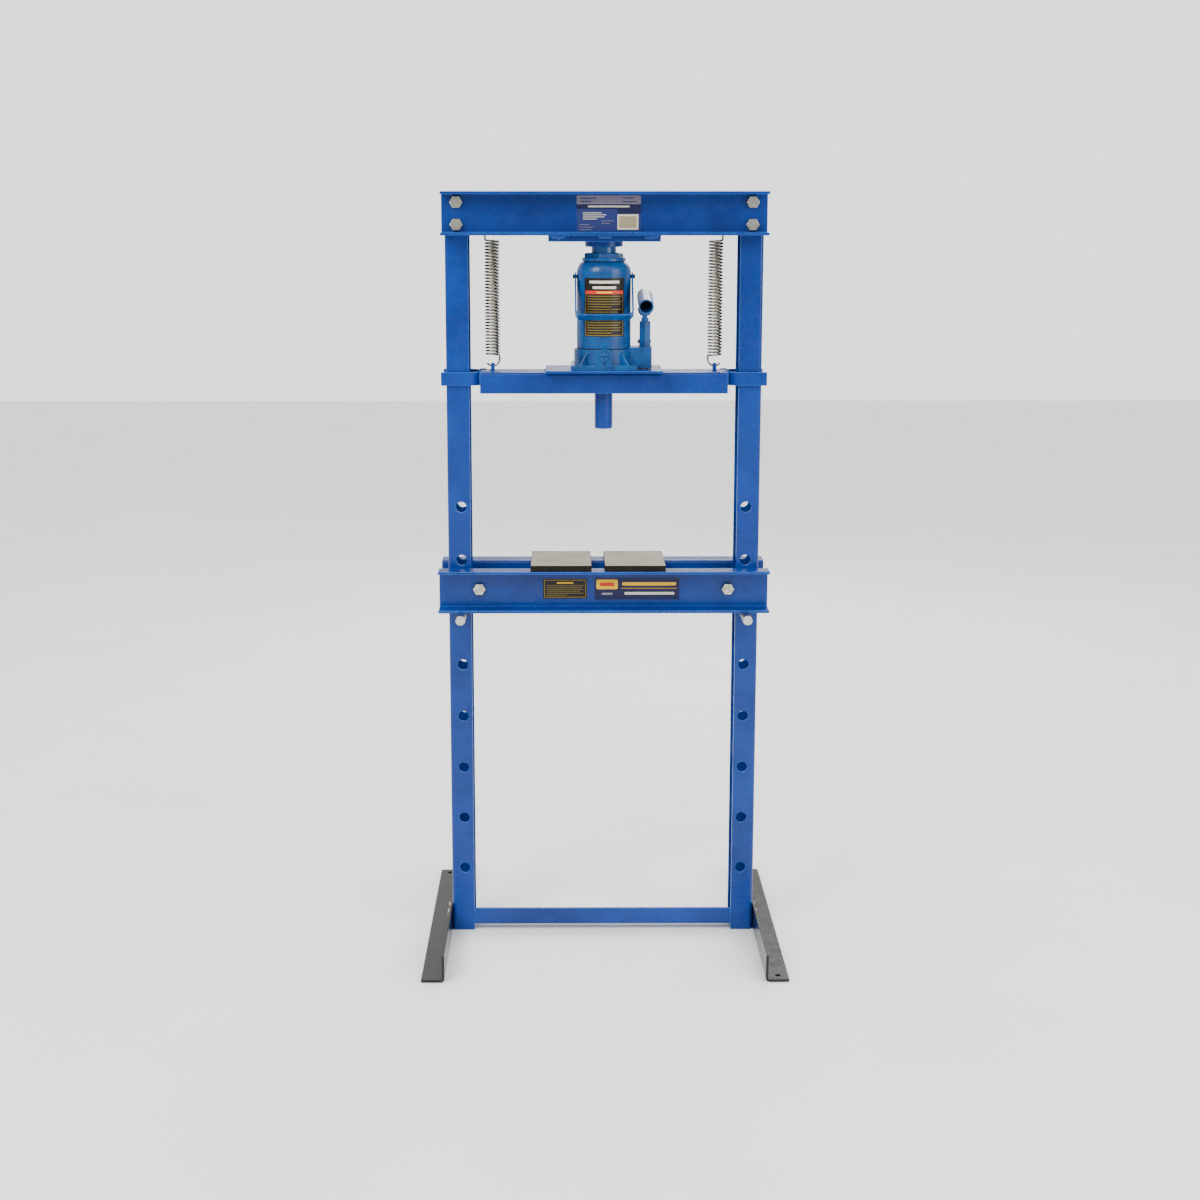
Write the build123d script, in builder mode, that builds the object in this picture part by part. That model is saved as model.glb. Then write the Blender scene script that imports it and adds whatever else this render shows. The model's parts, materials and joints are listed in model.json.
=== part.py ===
"""Bench-height hydraulic shop press: a bolted H-frame with a bottle jack on a sprung bolster.

Millimetres. The origin is on the floor at the middle of the frame, +Z is up and -Y is the
operator's side. Left and right are as the operator sees them.
"""
import os
from math import cos, radians, sin, sqrt

from build123d import *

# Frame
frame_width = 520.0          # outside face to outside face of the posts
frame_height = 1260.0        # floor to the top of the head beam
post_depth = 60.0
post_flange = 38.0
post_wall = 4.5
post_top_gap = 3.0           # posts stop this far under the top of the beam
bend_inside = 1.5            # inside radius where channel and angle sections are folded
broken_edge = 1.0            # chamfer on turned ends

beam_height = 70.0
beam_flange = 38.0
beam_wall = 4.5
beam_overhang = 4.5          # beam past the outside face of each post

beam_bolt_d = 12.0
beam_bolt_inset = 20.0       # bolt row in from the outside face of the post
beam_bolt_pitch = 36.0
bolt_play = 0.5              # radial, bolts in their holes

pin_hole_inset = 22.5        # hole row in from the outside face of the post
pin_hole_pitch = 90.0
pin_hole_first = 112.5
pin_hole_count = 8
bed_hole = 5                 # the pins sit in this hole, counted from 0 at the bottom

crossbar_leg = 30.0
crossbar_wall = 4.0
crossbar_floor_gap = 8.0
crossbar_setback = 1.0       # behind the front face of the posts

foot_length = 500.0
foot_height = 45.0
foot_flange = 38.0
foot_wall = 4.0
foot_bolt_d = 8.0
foot_bolt_pitch = 32.0
foot_bolt_height = 24.5
anchor_hole_d = 9.0
anchor_hole_inset = 16.0     # in from the end of the foot

# Bed
bed_height = 70.0
bed_flange = 38.0
bed_wall = 4.5
bed_overhang = 15.0          # bed channels past the outside face of each post
bed_play = 2.0               # post to bed channel, front and back
bed_bolt_d = 12.0
spacer_d = 20.0
spacer_play = 4.0            # spacer tube to the edge of the post

pin_d = 16.0
pin_play = 1.0               # radial, pins in the post holes
pin_length = 180.0
rest_gap = 0.3               # between loose pieces that lie on each other

plate_width = 101.0
plate_depth = 136.0
plate_thickness = 10.0
plate_corner = 1.5
plate_edge = 0.5
left_plate_x = -71.0
right_plate_x = 52.0

# Head
stop_plate_width = 182.0
stop_plate_depth = 110.0
stop_plate_thickness = 10.0
weld_leg = 7.0
weld_length = 26.0
stop_plate_corner = 3.0
weld_end_gap = 3.0           # weld runs stop this far short of the plate's ends
ring_wall = 10.0
ring_height = 9.0
ring_play = 2.0              # radial, screw head in the locating ring

# Return springs
spring_inset = 38.0          # spring axis in from the edge of the post
spring_od = 26.0
wire_d = 2.6
sleeve_skin = 0.2            # the plain sleeve that stands for the coil is this much fatter, each way
hanger_d = 8.0
hook_gap = 1.0               # hook wire to the rod or eye that it pulls on
hanger_height = 12.0         # rod centre above the underside of the beam
spring_shank = 15.0          # straight wire between the coil and the upper hook
spring_tail = 6.0            # straight wire between the coil and the lower hook
upper_hook_bow = 180.0       # degrees
lower_hook_bow = 145.0
eye_d = 6.0
eye_height = 7.0             # eye centre above the bolster
eye_rim = 6.0
eye_thickness = 6.0

# Bolster
bolster_depth = 72.0
bolster_height = 35.0
bolster_wall = 5.0
bolster_end_gap = 18.0       # bolster end to the edge of the post
guide_height = 22.0
guide_thickness = 5.0
guide_play = 2.0             # guide bar to post
guide_overhang = 8.0         # past the outside face of the post
guide_joggle = 12.0          # how far the inner end is bent in
guide_lead = 3.0             # the bend starts this far inside the edge of the post
punch_d = 30.0
punch_drop = 61.0
punch_step = 3.0             # the part inside the bolster is this much thinner, each side
seat_width = 192.0
seat_depth = 118.0
seat_thickness = 4.0

# Jack, heights from its own foot
jack_height = 208.0
foot_plate_side = 5.5        # past the round base, left and right
foot_plate_front = 4.0       # past the round base, front and back
foot_plate_thickness = 8.0
foot_plate_corner = 6.0
base_ledge = 4.5             # round base past the tank
base_height = 33.0
well_step = 3.0              # oil well narrower than the cylinder bore, each side
well_floor = 20.0
cylinder_floor = 26.0
delivery_ball_back = 19.0    # delivery ball in from the pump axis
rib_thickness = 3.5
rib_angle = 56.0             # where the ribs leave the round base, degrees round from the side
rib_root = 6.0               # rib sunk into the round base
rib_drop = 3.0               # rib below the rim of the round base
rib_toe_side = 14.2          # rib toe in from the side of the foot plate
rib_toe_front = 3.0          # and from its front
lug_width = 22.6
lug_slot = 6.0               # square drain notch under the valve
lug_step = 7.0               # release-valve lug past the round base
valve_height = 23.5
valve_d = 10.0
valve_head_d = 13.6
valve_head_length = 6.5
valve_seat_y = 36.0
passage_d = 4.0
passage_offset = 3.5         # delivery and suction passages, either side of the pump axis
suction_drop = 5.0           # suction passage below the floor of the oil well
ball_d = 6.35
ball_play = 0.8

tank_d = 89.0
tank_wall = 3.0
tank_shoulder = 18.0         # height of the rounded shoulder
tank_height = 140.0
gasket = 1.5
gasket_width = 6.0
cap_lip = 7.0                # cap flange past the pressure cylinder
cap_inset = 0.5              # and in from the rim of the tank's top
cap_flange_height = 5.5
cap_hex = 57.5               # across flats
cap_hex_height = 8.0
cap_spigot = 12.0
spigot_wall = 3.0            # cap nut between the ram and the cylinder bore
cylinder_wall = 6.0
ram_d = 40.0
piston_height = 14.0
piston_lift = 1.0            # the piston stops this far above the cylinder floor
seal_height = 5.0
seal_depth = 3.0
screw_d = 22.0
screw_length = 78.0
screw_head_d = 38.0
screw_head_height = 9.0
slide_fit = 0.05             # radial, on every piston, spindle and pivot pin

filler_d = 7.0
filler_height = 118.0
filler_head_d = 11.0

# Pump, beside the tank
pump_gap = 23.5              # tank wall to the pump axis
pump_y = -4.0
block_margin = 11.0          # pump block past the pump axis
block_front = -22.0
block_back = 27.0
block_lift = 2.0
block_height = 36.0
block_corner = 4.0
pump_cylinder_d = 17.3
pump_cylinder_top = 78.0
pump_hex = 17.8              # across flats, above the block
pump_hex_chamfer = 1.6
plunger_d = 12.0
pump_seal_height = 3.0
pump_seal_depth = 1.6
plunger_pin_height = 94.0
tongue_thickness = 8.0
tongue_play = 0.5
tongue_rise = 5.0            # flat of the plunger starts this far above the pump cylinder
cheek_thickness = 4.0
cheek_rim = 6.5
pivot_d = 6.0
pivot_length = 22.0
link_pin_back = 22.0         # link pivot behind the plunger pivot
link_pin_rise = 2.0          # and above it
link_length = 53.0
link_width = 12.0
link_play = 1.5              # radial, the link's upper eye is this much wider than its pin
socket_od = 25.0
socket_bore = 20.5
socket_length = 72.0
socket_end_wall = 3.0
socket_tilt = 12.0           # mouth down, degrees
socket_gap = 1.0             # socket tube above the end of the plunger
socket_back = 24.0           # closed end behind the plunger pivot

# Carrying bail on the tank
bail_thickness = 2.5
bail_width = 14.0
bail_corner = 9.0            # inside radius of its two front corners
bail_play = 1.0
bail_pivot_height = 151.0
bail_droop = 51.0            # below level, degrees
rivet_d = 6.0
rivet_play = 0.3
rivet_head_d = 9.0
rivet_head_height = 2.5

# Hexagon fasteners, as shares of the bolt diameter
hex_share = 0.79             # half of the width across flats
head_share = 0.62
nut_share = 0.85
washer_share = 1.8
washer_height_share = 0.2
thread_share = 1.1           # bolt end past the face that the nut bears on
edge_share = 0.06            # chamfers

# Where everything stands
post_face_x = frame_width / 2
post_edge_x = post_face_x - post_flange
post_height = frame_height - post_top_gap
beam_bottom = frame_height - beam_height
beam_mid = frame_height - beam_height / 2
beam_length = frame_width + 2 * beam_overhang
beam_bolt_x = post_face_x - beam_bolt_inset
pin_hole_d = pin_d + 2 * pin_play
pin_x = post_face_x - pin_hole_inset
pin_z = pin_hole_first + bed_hole * pin_hole_pitch - pin_play + rest_gap
bed_bottom = pin_z + pin_d / 2 + rest_gap
bed_top = bed_bottom + bed_height
bed_web_y = post_depth / 2 + bed_play
bed_length = frame_width + 2 * bed_overhang
spacer_x = post_edge_x - spacer_play - spacer_d / 2
stop_bottom = beam_bottom - stop_plate_thickness
jack_z = stop_bottom - rest_gap - jack_height
bolster_top = jack_z - seat_thickness
bolster_bottom = bolster_top - bolster_height
bolster_half = post_edge_x - bolster_end_gap
spring_x = post_edge_x - spring_inset
hanger_z = beam_bottom + hanger_height
eye_z = bolster_top + eye_height
hook_radius = (spring_od - wire_d) / 2 - sleeve_skin
upper_hook_z = hanger_z + hanger_d / 2 + hook_gap + wire_d / 2 - hook_radius
lower_hook_z = eye_z + eye_d / 2 - hook_gap - wire_d / 2 + hook_radius
coil_top = upper_hook_z - spring_shank
coil_bottom = lower_hook_z + spring_tail
tank_r = tank_d / 2
base_r = tank_r + base_ledge
foot_plate_width = 2 * (base_r + foot_plate_side)
foot_plate_depth = 2 * (base_r + foot_plate_front)
lug_reach = base_r + lug_step
pump_x = tank_r + pump_gap
block_reach = pump_x + block_margin
cylinder_bore = ram_d + 2 * spigot_wall
cylinder_r = cylinder_bore / 2 + cylinder_wall
cap_flange_r = cylinder_r + cap_lip
tank_top_r = cap_flange_r + cap_inset
tank_bottom = base_height + gasket
tank_top = tank_bottom + tank_height
cap_bottom = tank_top + gasket
cylinder_top = cap_bottom - gasket
ram_bottom = cylinder_floor + piston_lift
ram_top = jack_height - screw_head_height
link_foot_y = pump_y + link_pin_back
link_foot_z = plunger_pin_height + link_pin_rise - link_length
socket_rise = plunger_d / 2 + socket_gap + socket_od / 2

os.makedirs("parts", exist_ok=True)


def save(part, name):
    part.label = name
    export_step(part, f"parts/{name}.step")


def channel(middle, flange_way, run_way, depth, flange, wall, length):
    """Folded C section: the back of its web is at middle and its flanges point along flange_way."""
    with BuildPart() as bar:
        with BuildSketch(Plane(middle, x_dir=flange_way, z_dir=run_way)) as section:
            with Locations((flange / 2, 0)):
                Rectangle(flange, depth)
            with Locations((flange / 2 + wall, 0)):
                Rectangle(flange, depth - 2 * wall, mode=Mode.SUBTRACT)
            fillet(section.vertices().group_by(Axis.X)[1], bend_inside)
            fillet(section.vertices().group_by(Axis.X)[0], bend_inside + wall)
        extrude(amount=length / 2, both=True)
    return bar.part


def angle(corner, first_way, run_way, first_leg, second_leg, wall, length):
    """Folded L section with its outside corner at the given point, first_leg along first_way."""
    with BuildPart() as bar:
        with BuildSketch(Plane(corner, x_dir=first_way, z_dir=run_way)) as section:
            Rectangle(first_leg, second_leg, align=Align.MIN)
            with Locations((wall, wall)):
                Rectangle(first_leg, second_leg, align=Align.MIN, mode=Mode.SUBTRACT)
            fillet(section.vertices().sort_by(Axis((0, 0, 0), (1, 1, 0)))[0], bend_inside + wall)
        extrude(amount=length / 2, both=True)
    return bar.part


def turned(outline, height=0.0):
    """Body of revolution about Z from (radius, height) points."""
    with BuildPart() as body:
        with BuildSketch(Plane((0, 0, height), x_dir=(1, 0, 0), z_dir=(0, -1, 0))):
            with BuildLine():
                Polyline(*outline, close=True)
            make_face()
        revolve(axis=Axis.Z)
    return body.part


def ring(outer_d, inner_d, thickness):
    with BuildPart() as body:
        Cylinder(outer_d / 2, thickness, align=(Align.CENTER, Align.CENTER, Align.MIN))
        Cylinder(inner_d / 2, thickness, align=(Align.CENTER, Align.CENTER, Align.MIN), mode=Mode.SUBTRACT)
    return body.part


def hex_bolt(size, length):
    """Head below Z 0, shank up to the given length."""
    head = head_share * size
    with BuildPart() as bolt:
        with BuildSketch(Plane.XY.offset(-head)):
            RegularPolygon(hex_share * size, 6, major_radius=False)
        extrude(amount=head)
        chamfer(bolt.faces().sort_by(Axis.Z)[0].edges(), edge_share * size)
        Cylinder(size / 2, length, align=(Align.CENTER, Align.CENTER, Align.MIN))
        chamfer(bolt.faces().sort_by(Axis.Z)[-1].edges(), edge_share * size)
    return bolt.part


def hex_nut(size):
    with BuildPart() as nut:
        with BuildSketch():
            RegularPolygon(hex_share * size, 6, major_radius=False)
            Circle(size / 2 + slide_fit, mode=Mode.SUBTRACT)
        extrude(amount=nut_share * size)
        chamfer(nut.edges().filter_by(GeomType.LINE).group_by(Axis.Z)[-1], edge_share * size)
    return nut.part


def washer(size):
    return ring(washer_share * size, size + 2 * bolt_play, washer_height_share * size)


def group(piece, places):
    """The same piece at each place, as separate solids."""
    with BuildPart() as pieces:
        with Locations(*places):
            add(piece)
    return pieces.part


# ---- Posts ----
def post(side):
    with BuildPart() as body:
        add(channel((side * post_face_x, 0, post_height / 2), (-side, 0, 0), (0, 0, 1),
                    post_depth, post_flange, post_wall, post_height))
        with BuildSketch(Plane.XZ):
            with Locations(*[(side * pin_x, pin_hole_first + k * pin_hole_pitch)
                             for k in range(pin_hole_count)]):
                Circle(pin_hole_d / 2)
            with Locations((side * beam_bolt_x, beam_mid)):
                with GridLocations(1, beam_bolt_pitch, 1, 2):
                    Circle(beam_bolt_d / 2 + bolt_play)
        extrude(amount=post_depth, both=True, mode=Mode.SUBTRACT)
        with BuildSketch(Plane.YZ.offset(side * post_face_x)):
            with Locations((0, foot_bolt_height)):
                with GridLocations(foot_bolt_pitch, 1, 2, 1):
                    Circle(foot_bolt_d / 2 + bolt_play)
        extrude(amount=post_wall, both=True, mode=Mode.SUBTRACT)
    return body.part


save(post(-1), "left_post")
save(post(1), "right_post")


# ---- Head beam: two channels back to back on the posts ----
def head_channel(side):
    with BuildPart() as body:
        add(channel((0, side * post_depth / 2, beam_mid), (0, side, 0), (side, 0, 0),
                    beam_height, beam_flange, beam_wall, beam_length))
        with BuildSketch(Plane.XZ):
            with Locations((0, beam_mid)):
                with GridLocations(2 * beam_bolt_x, beam_bolt_pitch, 2, 2):
                    Circle(beam_bolt_d / 2 + bolt_play)
        extrude(amount=post_depth, both=True, mode=Mode.SUBTRACT)
    return body.part


save(head_channel(-1), "top_beam_front")
save(head_channel(1), "top_beam_rear")

beam_face = post_depth / 2 + beam_wall
bolt_spots = [(x, beam_mid + z) for x in (-beam_bolt_x, beam_bolt_x)
              for z in (-beam_bolt_pitch / 2, beam_bolt_pitch / 2)]
washer_height = washer_height_share * beam_bolt_d
beam_bolt_length = 2 * beam_face + washer_height + thread_share * beam_bolt_d
save(group(hex_bolt(beam_bolt_d, beam_bolt_length),
           [Location((x, -beam_face, z), (-90, 0, 0)) for x, z in bolt_spots]), "top_beam_bolts")
save(group(washer(beam_bolt_d),
           [Location((x, beam_face, z), (-90, 0, 0)) for x, z in bolt_spots]), "top_beam_washers")
save(group(hex_nut(beam_bolt_d),
           [Location((x, beam_face + washer_height, z), (-90, 0, 0)) for x, z in bolt_spots]),
     "top_beam_nuts")

# ---- Jack stop plate, its welds and the locating ring ----
with BuildPart() as jack_stop_plate:
    with BuildSketch(Plane.XY.offset(stop_bottom)):
        RectangleRounded(stop_plate_width, stop_plate_depth, stop_plate_corner)
    extrude(amount=stop_plate_thickness)
save(jack_stop_plate.part, "jack_stop_plate")

weld_shift = (stop_plate_width - weld_length) / 2 - weld_end_gap
weld_belly = 0.57 * weld_leg  # the bead's face passes through this point, out and down
with BuildPart() as stop_plate_welds:
    for side in (-1, 1):
        for x in (-weld_shift, 0, weld_shift):
            with BuildSketch(Plane((x, side * stop_plate_depth / 2, beam_bottom), x_dir=(0, side, 0),
                                   z_dir=(side, 0, 0))):
                with BuildLine():
                    Line((0, 0), (weld_leg, 0))
                    ThreePointArc((weld_leg, 0), (weld_belly, -weld_belly), (0, -weld_leg))
                    Line((0, -weld_leg), (0, 0))
                make_face()
            extrude(amount=weld_length / 2, both=True)
save(stop_plate_welds.part, "stop_plate_welds")

with BuildPart() as jack_locating_ring:
    with Locations((0, 0, stop_bottom - ring_height)):
        add(ring(screw_head_d + 2 * (ring_play + ring_wall), screw_head_d + 2 * ring_play, ring_height))
    chamfer(jack_locating_ring.edges().filter_by(GeomType.CIRCLE).group_by(Axis.Z)[0], broken_edge)
save(jack_locating_ring.part, "jack_locating_ring")

# ---- Spring hanger rods between the head channels ----
with BuildPart() as hanger:
    Cylinder(hanger_d / 2, post_depth, rotation=(90, 0, 0))
save(group(hanger.part, [Location((x, 0, hanger_z)) for x in (-spring_x, spring_x)]), "spring_hanger_rods")

# ---- Crossbar near the floor ----
crossbar_y = -post_depth / 2 + crossbar_setback
save(angle((0, crossbar_y, crossbar_floor_gap), (0, 1, 0), (1, 0, 0),
           crossbar_leg, crossbar_leg, crossbar_wall, 2 * post_edge_x), "lower_crossbar")


# ---- Feet: one part used twice, turned half round ----
with BuildPart() as foot:
    add(angle((post_face_x, 0, 0), (1, 0, 0), (0, -1, 0),
              foot_flange, foot_height, foot_wall, foot_length))
    with BuildSketch(Plane.YZ.offset(post_face_x)):
        with Locations((0, foot_bolt_height)):
            with GridLocations(foot_bolt_pitch, 1, 2, 1):
                Circle(foot_bolt_d / 2 + bolt_play)
    extrude(amount=foot_wall, mode=Mode.SUBTRACT)
    with BuildSketch():
        with Locations((post_face_x + (foot_flange + foot_wall) / 2, anchor_hole_inset - foot_length / 2)):
            Circle(anchor_hole_d / 2)
    extrude(amount=foot_wall, mode=Mode.SUBTRACT)
save(foot.part, "right_foot")
save(group(foot.part, [Location((0, 0, 0), (0, 0, 180))]), "left_foot")

foot_face = post_face_x + foot_wall
foot_spots = [(side, y) for side in (-1, 1) for y in (-foot_bolt_pitch / 2, foot_bolt_pitch / 2)]
foot_bolt_length = foot_wall + post_wall + thread_share * foot_bolt_d
save(group(hex_bolt(foot_bolt_d, foot_bolt_length),
           [Location((side * foot_face, y, foot_bolt_height), (0, -90 * side, 0)) for side, y in foot_spots]),
     "foot_bolts")
save(group(hex_nut(foot_bolt_d),
           [Location((side * (post_face_x - post_wall), y, foot_bolt_height), (0, -90 * side, 0))
            for side, y in foot_spots]), "foot_nuts")


# ---- Bed: two channels on two loose pins ----
def bed_channel(side):
    with BuildPart() as body:
        add(channel((0, side * bed_web_y, bed_bottom + bed_height / 2), (0, side, 0), (side, 0, 0),
                    bed_height, bed_flange, bed_wall, bed_length))
        with BuildSketch(Plane.XZ):
            with Locations((-spacer_x, bed_bottom + bed_height / 2), (spacer_x, bed_bottom + bed_height / 2)):
                Circle(bed_bolt_d / 2 + bolt_play)
        extrude(amount=bed_web_y + bed_wall, both=True, mode=Mode.SUBTRACT)
    return body.part


save(bed_channel(-1), "bed_channel_front")
save(bed_channel(1), "bed_channel_rear")

bed_face = bed_web_y + bed_wall
bed_bolt_z = bed_bottom + bed_height / 2
save(group(ring(spacer_d, bed_bolt_d + 2 * bolt_play, 2 * bed_web_y),
           [Location((x, -bed_web_y, bed_bolt_z), (-90, 0, 0)) for x in (-spacer_x, spacer_x)]),
     "bed_spacers")
save(group(hex_bolt(bed_bolt_d, 2 * bed_face + thread_share * bed_bolt_d),
           [Location((x, -bed_face, bed_bolt_z), (-90, 0, 0)) for x in (-spacer_x, spacer_x)]), "bed_bolts")
save(group(hex_nut(bed_bolt_d),
           [Location((x, bed_face, bed_bolt_z), (-90, 0, 0)) for x in (-spacer_x, spacer_x)]), "bed_nuts")

with BuildPart() as pin:
    Cylinder(pin_d / 2, pin_length, rotation=(90, 0, 0))
    chamfer(pin.edges().filter_by(GeomType.CIRCLE), broken_edge)
save(group(pin.part, [Location((-pin_x, 0, pin_z))]), "left_bed_pin")
save(group(pin.part, [Location((pin_x, 0, pin_z))]), "right_bed_pin")

with BuildPart() as arbor_plate:
    Box(plate_width, plate_depth, plate_thickness, align=(Align.CENTER, Align.CENTER, Align.MIN))
    fillet(arbor_plate.edges().filter_by(Axis.Z), plate_corner)
    chamfer(arbor_plate.faces().sort_by(Axis.Z)[-1].edges(), plate_edge)
save(group(arbor_plate.part, [Location((left_plate_x, 0, bed_top))]), "left_arbor_plate")
save(group(arbor_plate.part, [Location((right_plate_x, 0, bed_top))]), "right_arbor_plate")

# ---- Bolster ----
save(channel((0, 0, bolster_top), (0, 0, -1), (1, 0, 0),
             bolster_depth, bolster_height, bolster_wall, 2 * bolster_half), "bolster_beam")

with BuildPart() as jack_seat_plate:
    with BuildSketch(Plane.XY.offset(bolster_top)):
        Rectangle(seat_width, seat_depth)
    extrude(amount=seat_thickness)
save(jack_seat_plate.part, "jack_seat_plate")

# Guide bars: flat bar beside the post, joggled in to meet the end of the bolster
guide_inner = post_depth / 2 + guide_play
guide_outer = guide_inner + guide_thickness
guide_knee = post_edge_x - guide_lead
guide_tip = post_face_x + guide_overhang


def guide_bar(side, face):
    with BuildPart() as body:
        with BuildSketch(Plane.XY.offset(bolster_top - guide_height)) as section:
            with BuildLine():
                Polyline((side * guide_tip, face * guide_outer), (side * guide_knee, face * guide_outer),
                         (side * bolster_half, face * (guide_outer - guide_joggle)),
                         (side * bolster_half, face * (guide_inner - guide_joggle)),
                         (side * guide_knee, face * guide_inner), (side * guide_tip, face * guide_inner),
                         close=True)
            make_face()
            fillet(section.vertices().group_by(Axis.X)[1], guide_thickness)
        extrude(amount=guide_height)
    return body.part


for side, side_name in ((-1, "left"), (1, "right")):
    for face, face_name in ((-1, "front"), (1, "rear")):
        save(guide_bar(side, face), f"{side_name}_{face_name}_guide_bar")

# Punch: welded up inside the bolster on a smaller spigot
punch_r = punch_d / 2
punch_tip = bolster_bottom - punch_drop
save(turned([(0, punch_tip), (punch_r - broken_edge, punch_tip), (punch_r, punch_tip + broken_edge),
             (punch_r, bolster_bottom), (punch_r - punch_step, bolster_bottom),
             (punch_r - punch_step, bolster_top - bolster_wall), (0, bolster_top - bolster_wall)]),
     "press_punch")

with BuildPart() as eye:
    with BuildSketch(Plane.YZ):
        with Locations((0, eye_height)):
            Circle(eye_rim)
        Rectangle(2 * eye_rim, eye_height, align=(Align.CENTER, Align.MIN))
        with Locations((0, eye_height)):
            Circle(eye_d / 2, mode=Mode.SUBTRACT)
    extrude(amount=eye_thickness / 2, both=True)
save(group(eye.part, [Location((x, 0, bolster_top)) for x in (-spring_x, spring_x)]), "spring_eyes")


# ---- Return springs: a sleeve of the coil's size with its two end hooks ----
def return_spring(side):
    with BuildPart() as body:
        with Locations((side * spring_x, 0, coil_bottom)):
            add(ring(spring_od, spring_od - 2 * wire_d - 4 * sleeve_skin, coil_top - coil_bottom))
        for hook_z, coil_end, way, bow in ((upper_hook_z, coil_top, side, upper_hook_bow),
                                           (lower_hook_z, coil_bottom, -side, -lower_hook_bow)):
            hook_axis = Axis((side * spring_x, 0, hook_z), (0, -way, 0))
            start = (side * spring_x + way * hook_radius, 0, hook_z)
            with BuildSketch(Plane(start, x_dir=(1, 0, 0), z_dir=(0, 0, 1))):
                Circle(wire_d / 2)
            revolve(axis=hook_axis, revolution_arc=bow)
            with BuildSketch(Plane(start, x_dir=(1, 0, 0), z_dir=(0, 0, 1))):
                Circle(wire_d / 2)
            extrude(amount=coil_end - hook_z)
    return body.part


save(return_spring(-1), "left_spring")
save(return_spring(1), "right_spring")

# ---- Jack base: foot, body, pump block, ribs and valve lug in one casting ----
block_mid = (block_back + block_front) / 2
pocket_d = ball_d + ball_play
pocket_floor = well_floor - pocket_d - 1
delivery_x = pump_x - delivery_ball_back
delivery_y = pump_y + passage_offset
suction_x = (cylinder_r + tank_r - tank_wall) / 2
suction_y = pump_y - passage_offset
suction_z = well_floor - suction_drop
rib_way = radians(rib_angle)
rib_top = (base_r * cos(rib_way), -base_r * sin(rib_way))
rib_toe = (foot_plate_width / 2 - rib_toe_side, rib_toe_front - foot_plate_depth / 2)
rib_run = sqrt((rib_toe[0] - rib_top[0]) ** 2 + (rib_toe[1] - rib_top[1]) ** 2)


def drill(start, way, diameter, depth):
    """Cut a round hole in the part being built."""
    with Locations(Plane(start, z_dir=way)):
        Cylinder(diameter / 2, depth, align=(Align.CENTER, Align.CENTER, Align.MIN), mode=Mode.SUBTRACT)


def base_rib(side):
    """Thin gusset from the round body out to a front corner of the foot."""
    out_x = side * (rib_toe[0] - rib_top[0])
    out_y = rib_toe[1] - rib_top[1]
    with BuildPart() as rib:
        with BuildSketch(Plane((side * rib_top[0], rib_top[1], 0), x_dir=(out_x, out_y, 0),
                               z_dir=(out_y, -out_x, 0))):
            with BuildLine():
                Polyline((-rib_root, 1), (-rib_root, base_height - rib_drop), (0, base_height - rib_drop),
                         (rib_run, foot_plate_thickness), (rib_run, 1), close=True)
            make_face()
        extrude(amount=rib_thickness / 2, both=True)
    return rib.part


with BuildPart() as jack_base:
    with BuildSketch():
        RectangleRounded(foot_plate_width, foot_plate_depth, foot_plate_corner)
    extrude(amount=foot_plate_thickness)
    Cylinder(base_r, base_height, align=(Align.CENTER, Align.CENTER, Align.MIN))
    with BuildSketch(Plane.XY.offset(block_lift)):
        with Locations((block_reach / 2, block_mid)):
            RectangleRounded(block_reach, block_back - block_front, block_corner)
    extrude(amount=block_height - block_lift)
    add(base_rib(-1))
    add(base_rib(1))
    with BuildSketch(Plane.XZ):
        with Locations((0, valve_height)):
            Circle(lug_width / 2)
        Rectangle(lug_width, valve_height, align=(Align.CENTER, Align.MIN))
    extrude(amount=lug_reach)
    for cheek in (-1, 1):
        with BuildSketch(Plane.YZ.offset(pump_x + cheek * (tongue_thickness / 2 + tongue_play))):
            with Locations((link_foot_y, link_foot_z)):
                Circle(cheek_rim)
            with Locations((link_foot_y, base_height)):
                Rectangle(2 * cheek_rim, link_foot_z - base_height, align=(Align.CENTER, Align.MIN))
        extrude(amount=cheek * cheek_thickness)
    drill((0, 0, base_height), (0, 0, 1), tank_d + 2 * bail_play, block_height)
    drill((0, 0, well_floor), (0, 0, 1), cylinder_bore - 2 * well_step, base_height)
    drill((0, 0, cylinder_floor), (0, 0, 1), 2 * cylinder_r, base_height)
    drill((0, -valve_seat_y, valve_height), (0, -1, 0), valve_d + 2 * slide_fit, base_height)
    drill((0, 0, valve_height), (0, -1, 0), passage_d, valve_seat_y)
    with Locations((0, -lug_reach, foot_plate_thickness)):
        Box(lug_slot, lug_slot, lug_slot, align=(Align.CENTER, Align.CENTER, Align.MIN), mode=Mode.SUBTRACT)
    drill((pump_x, pump_y, cylinder_floor), (0, 0, 1), pump_cylinder_d, base_height)
    drill((pump_x, pump_y, well_floor), (0, 0, 1), plunger_d, base_height)
    drill((pump_x, pump_y, pocket_floor), (0, 0, 1), pocket_d, base_height)
    drill((0, delivery_y, valve_height), (1, 0, 0), passage_d, pump_x)
    drill((delivery_x - pocket_d / 2, delivery_y, valve_height), (1, 0, 0), pocket_d, pocket_d)
    drill((suction_x, suction_y + 1, suction_z), (1, 0, 0), passage_d, pump_x - suction_x)
    drill((suction_x, suction_y, suction_z), (0, 0, 1), passage_d, base_height)
    drill((0, link_foot_y, link_foot_z), (1, 0, 0), pivot_d, 2 * pump_x)
save(group(jack_base.part, [Location((0, 0, jack_z))]), "jack_base")

with BuildPart() as ball:
    Sphere(ball_d / 2)
save(group(ball.part, [Location((pump_x, pump_y, jack_z + pocket_floor + pocket_d / 2)),
                       Location((delivery_x, delivery_y, jack_z + valve_height))]), "check_valve_balls")

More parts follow.
